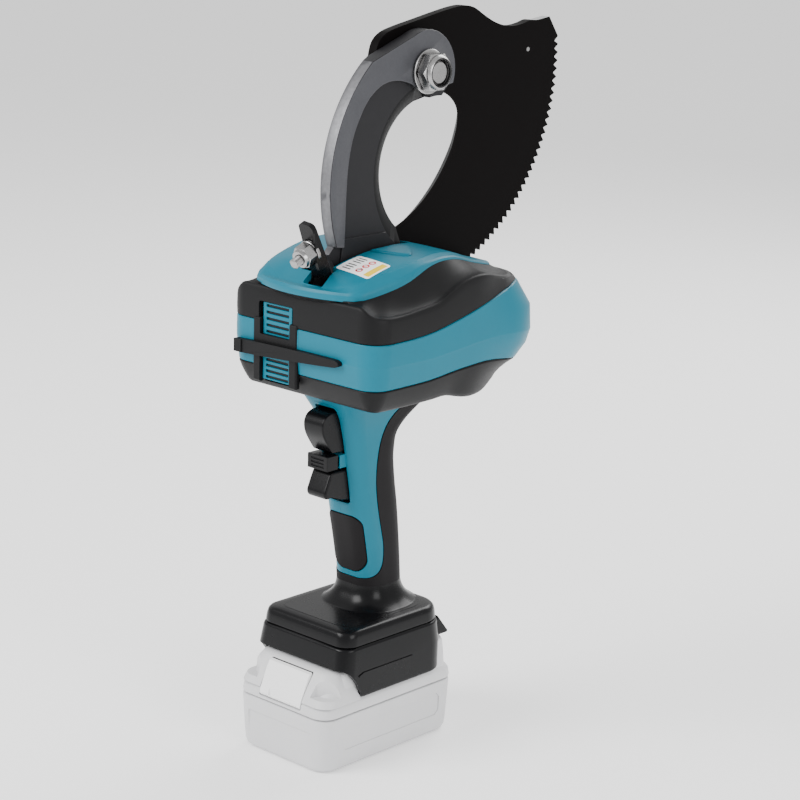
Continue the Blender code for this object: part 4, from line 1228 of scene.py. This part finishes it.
case_levels = ((0, 5.5), (0.5, 3.6), (1.8, 2.2), (4, 1.5), (12, 0.95), (24, 0.45), (32.4, 0.12), (33.4, 0.3),
               (33.8, 0.9))
case = wrap("battery_lower", [battery_ring(0, 20)] + [battery_ring(z, inset) for z, inset in case_levels]
            + [battery_ring(33.8, 3), battery_ring(6, 4.4), battery_ring(2.6, 6), battery_ring(2.6, 20)])
for side in (-1, 1):
    low, high = sorted((side * 36.2, side * 39))
    panel = plate("panel", [(-38, 12.5), (40, 12.5), (43, 15.5), (43, 24), (40, 27), (-38, 27), (-41, 24),
                            (-41, 15.5)], "x", low, high)
    combine(case, panel)
combine(case, round_edges(box("front_panel", (-27, 27), (-60, -55.7), (9, 25)), 1.2, 2))
round_edges(case, 0.4, 2, 40)
dress(case, "pale_plastic", ["battery_case"], "battery")

cover_levels = ((34.4, 0.9, 0), (34.8, 0.25, 0), (36, 0.05, 0), (39.6, 0.45, 0.2), (41.0, 1.2, 0.8),
                (42.2, 2.4, 3.6), (50, 2.8, 9), (57.4, 3.4, 13), (58.8, 4.0, 14), (59.5, 5.4, 15.5))
shell = wrap("battery_upper", [battery_ring(*level) for level in cover_levels]
             + [battery_ring(59.5, 20, 15.5)]
             + [battery_ring(57, 20, 17), battery_ring(56.5, 6, 17), battery_ring(48, 5.6, 10.5),
                battery_ring(39, 4, 2), battery_ring(34.4, 3.4, 0)], loop=True)
combine(shell, wrap("roof_way", [[(x, y, z) for x, y in egg((-17.6, 17.6), (-36, 38), 3, 3)]
                                 for z in (50, 66)]))
roof = wrap("roof", [[(x, y, z) for x, y in egg((-19, 19), (-34, 39), 3, 3)] for z in (56.9, 59.5)])
combine(roof, box("channel", (-9, 9), (-9, 60), (50, 66)))
combine(shell, roof, "UNION")
combine(shell, box("channel", (-9, 9), (-9, 70), (49.5, 66)))
combine(shell, round_edges(box("button_way", (-17.6, 17.6), (-70, -42), (36.4, 57.9)), 1.0, 2))
for side in (-1, 1):
    low, high = sorted((side * 34.6, side * 40))
    rail = plate("rail", [(-30, 52.5), (52, 52.5), (52, 55.6), (-30, 55.6)], "x", low, high)
    combine(shell, rail)
round_edges(shell, 0.4, 2, 40)
dress(shell, "pale_plastic", ["battery_cover"], "battery")
hood_levels = ((41.4, 37.35, -56.2), (45, 36.4, -54.4), (50, 34.6, -51.4), (55, 32.6, -48.2),
               (58, 31.0, -46.0), (59.2, 29.6, -44.4), (59.7, 27.5, -42.4))
hood = wrap("hood", [[(x, y, z) for x, y in egg((-half, half), (front, 0), 9, 4)] for z, half,
                     front in hood_levels])
cut_line = [(-27.0, 30), (-26.8, 43.4), (-31.6, 52.8), (-36.6, 59.2), (-39, 66), (30, 66), (30, 30)]
for x in ((-50, -35.4), (35.4, 50)):
    combine(hood, plate("beside_skirt", cut_line, "x", *x))
combine(hood, box("behind", (-60, 60), (-25, 30), (30, 70)))
combine(hood, box("hollow", (-31, 31), (-40.5, -20), (30, 57)))
combine(hood, round_edges(box("button_way", (-17.6, 17.6), (-70, -42), (30, 57.9)), 1.0, 2))
for side in (-1, 1):
    corner = plate("facet", [(side * 19.6, -64), (side * 23.5, -49.5), (side * 45, -36), (side * 45, -64)],
                   "z", 45.5, 62)
    combine(hood, corner)
round_edges(hood, 0.6, 2, 40)
dress(hood, "pale_plastic", body="battery")
button_outline = [(-56.2, 37.2), (-57, 38.6), (-56.4, 41), (-51, 53.4), (-49, 57), (-47, 57.6), (-47, 37)]
button = plate("battery_button_face", button_outline, "x", -17, 17)
combine(button, round_edges(box("finger", (-10, 10), (-64, -55.4), (38, 44)), 0.8, 2))
round_edges(button, 0.8, 3, 40)
dress(button, "white_plastic", ["release_button"], "battery_button")

# %% [markdown]
# Screws go in from the left, as on any clamshell tool. Each sits in a counterbore, with a star recess.

# %% Screws
def on_circle(centre, radius, degrees):
    angle = math.radians(degrees)
    return (centre[0] + radius * math.cos(angle), centre[1] + radius * math.sin(angle))


def star(name, axis, centre, low, high, radius):
    """A six-pointed recess, cut into a screw's head."""
    outline = []
    for i in range(12):
        outline.append(on_circle(centre, radius * (1.0 if i % 2 else 0.66), 30 * i))
    return plate(name, outline, axis, low, high)


left_half = bpy.data.objects["belt_left"]
left_grip = bpy.data.objects["grip_front_left"]
for number, (holder, y, z, face) in enumerate(((left_half, -22, 247.5, -60.0), (left_half, 18, 250.5, -60.0),
                                               (left_half, 58, 255, -60.0), (left_grip, 1.5, 141, -16.6),
                                               (left_grip, 6, 118, -17.0)), 1):
    radius = 3.6 if holder is left_half else 2.8
    combine(holder, turned_piece("counterbore", "x", (y, z), [(face - 3, radius), (face + 1.8, radius)], 32))
    screw = turned_piece("case_screw_%d" % number, "x", (y, z),
                         [(face + 2.6, radius - 0.5), (face + 1.2, radius - 0.5), (face + 0.5, radius - 0.8),
                          (face + 0.1, radius * 0.45)], 32)
    combine(screw, star("recess", "x", (y, z), face - 1, face + 1.6, radius * 0.5))
    dress(screw, "black_steel", finish=FINISHES["black_steel"])
for holder in (left_half, left_grip):
    shade(holder)
for number, (x, y) in enumerate(((-33, -36), (33, -36), (-33, 36), (33, 36)), 1):
    screw = turned_piece("battery_screw_%d" % number, "z", (x * 0.8, y), [(0.05, 2.6), (0.5, 3), (1.0, 3)],
                         24)
    combine(screw, star("recess", "z", (x * 0.8, y), -1, 0.8, 1.5))
    dress(screw, "black_steel", body="battery")

# %% [markdown]
# ## Return springs
#
# Three small compression springs push the triggers and the release button back out. They are seen only
# when the tool is opened. Each is made at its rest length with a mesh of its own; it does not shorten when
# its button moves.

# %% Springs
STEPS, SEAT_GAP = 16, 0.1


def spring(name, node, joint, body, z, radius, wire, span, turns, travel):
    """A coil along Y; the sizes are in millimetres."""
    length = span[1] - span[0] - 2 * wire
    rings = []
    for i in range(turns * STEPS + 1):
        turn, y = 2 * math.pi * i / STEPS, span[0] + wire + length * i / (turns * STEPS)
        section = [(radius + wire * math.cos(a), wire * math.sin(a)) for a in np.arange(8) * math.pi / 4]
        rings.append([(r * math.cos(turn), y + h, z + r * math.sin(turn)) for r, h in section])
    dress(wrap(name, rings), "spring_steel", [node], body, angle=60)
    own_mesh(bpy.data.objects[name], joint, axis=(0, 1, 0), anchor=(0, span[1] * MM, z * MM),
              keep=1 - (travel + SEAT_GAP) / (span[1] - span[0]))


for which, z in (("upper", 197), ("lower", 163)):
    spring(which + "_trigger_coil", which + "_trigger_spring", which + "_trigger_pull", "tool", z, 3.4, 0.45,
           (-7.6, 1.9), 4, 5)
spring("release_coil", "release_button_spring", "battery_button_press", "battery", 45, 2.6, 0.4, (-46.7, -38),
       4, 3)
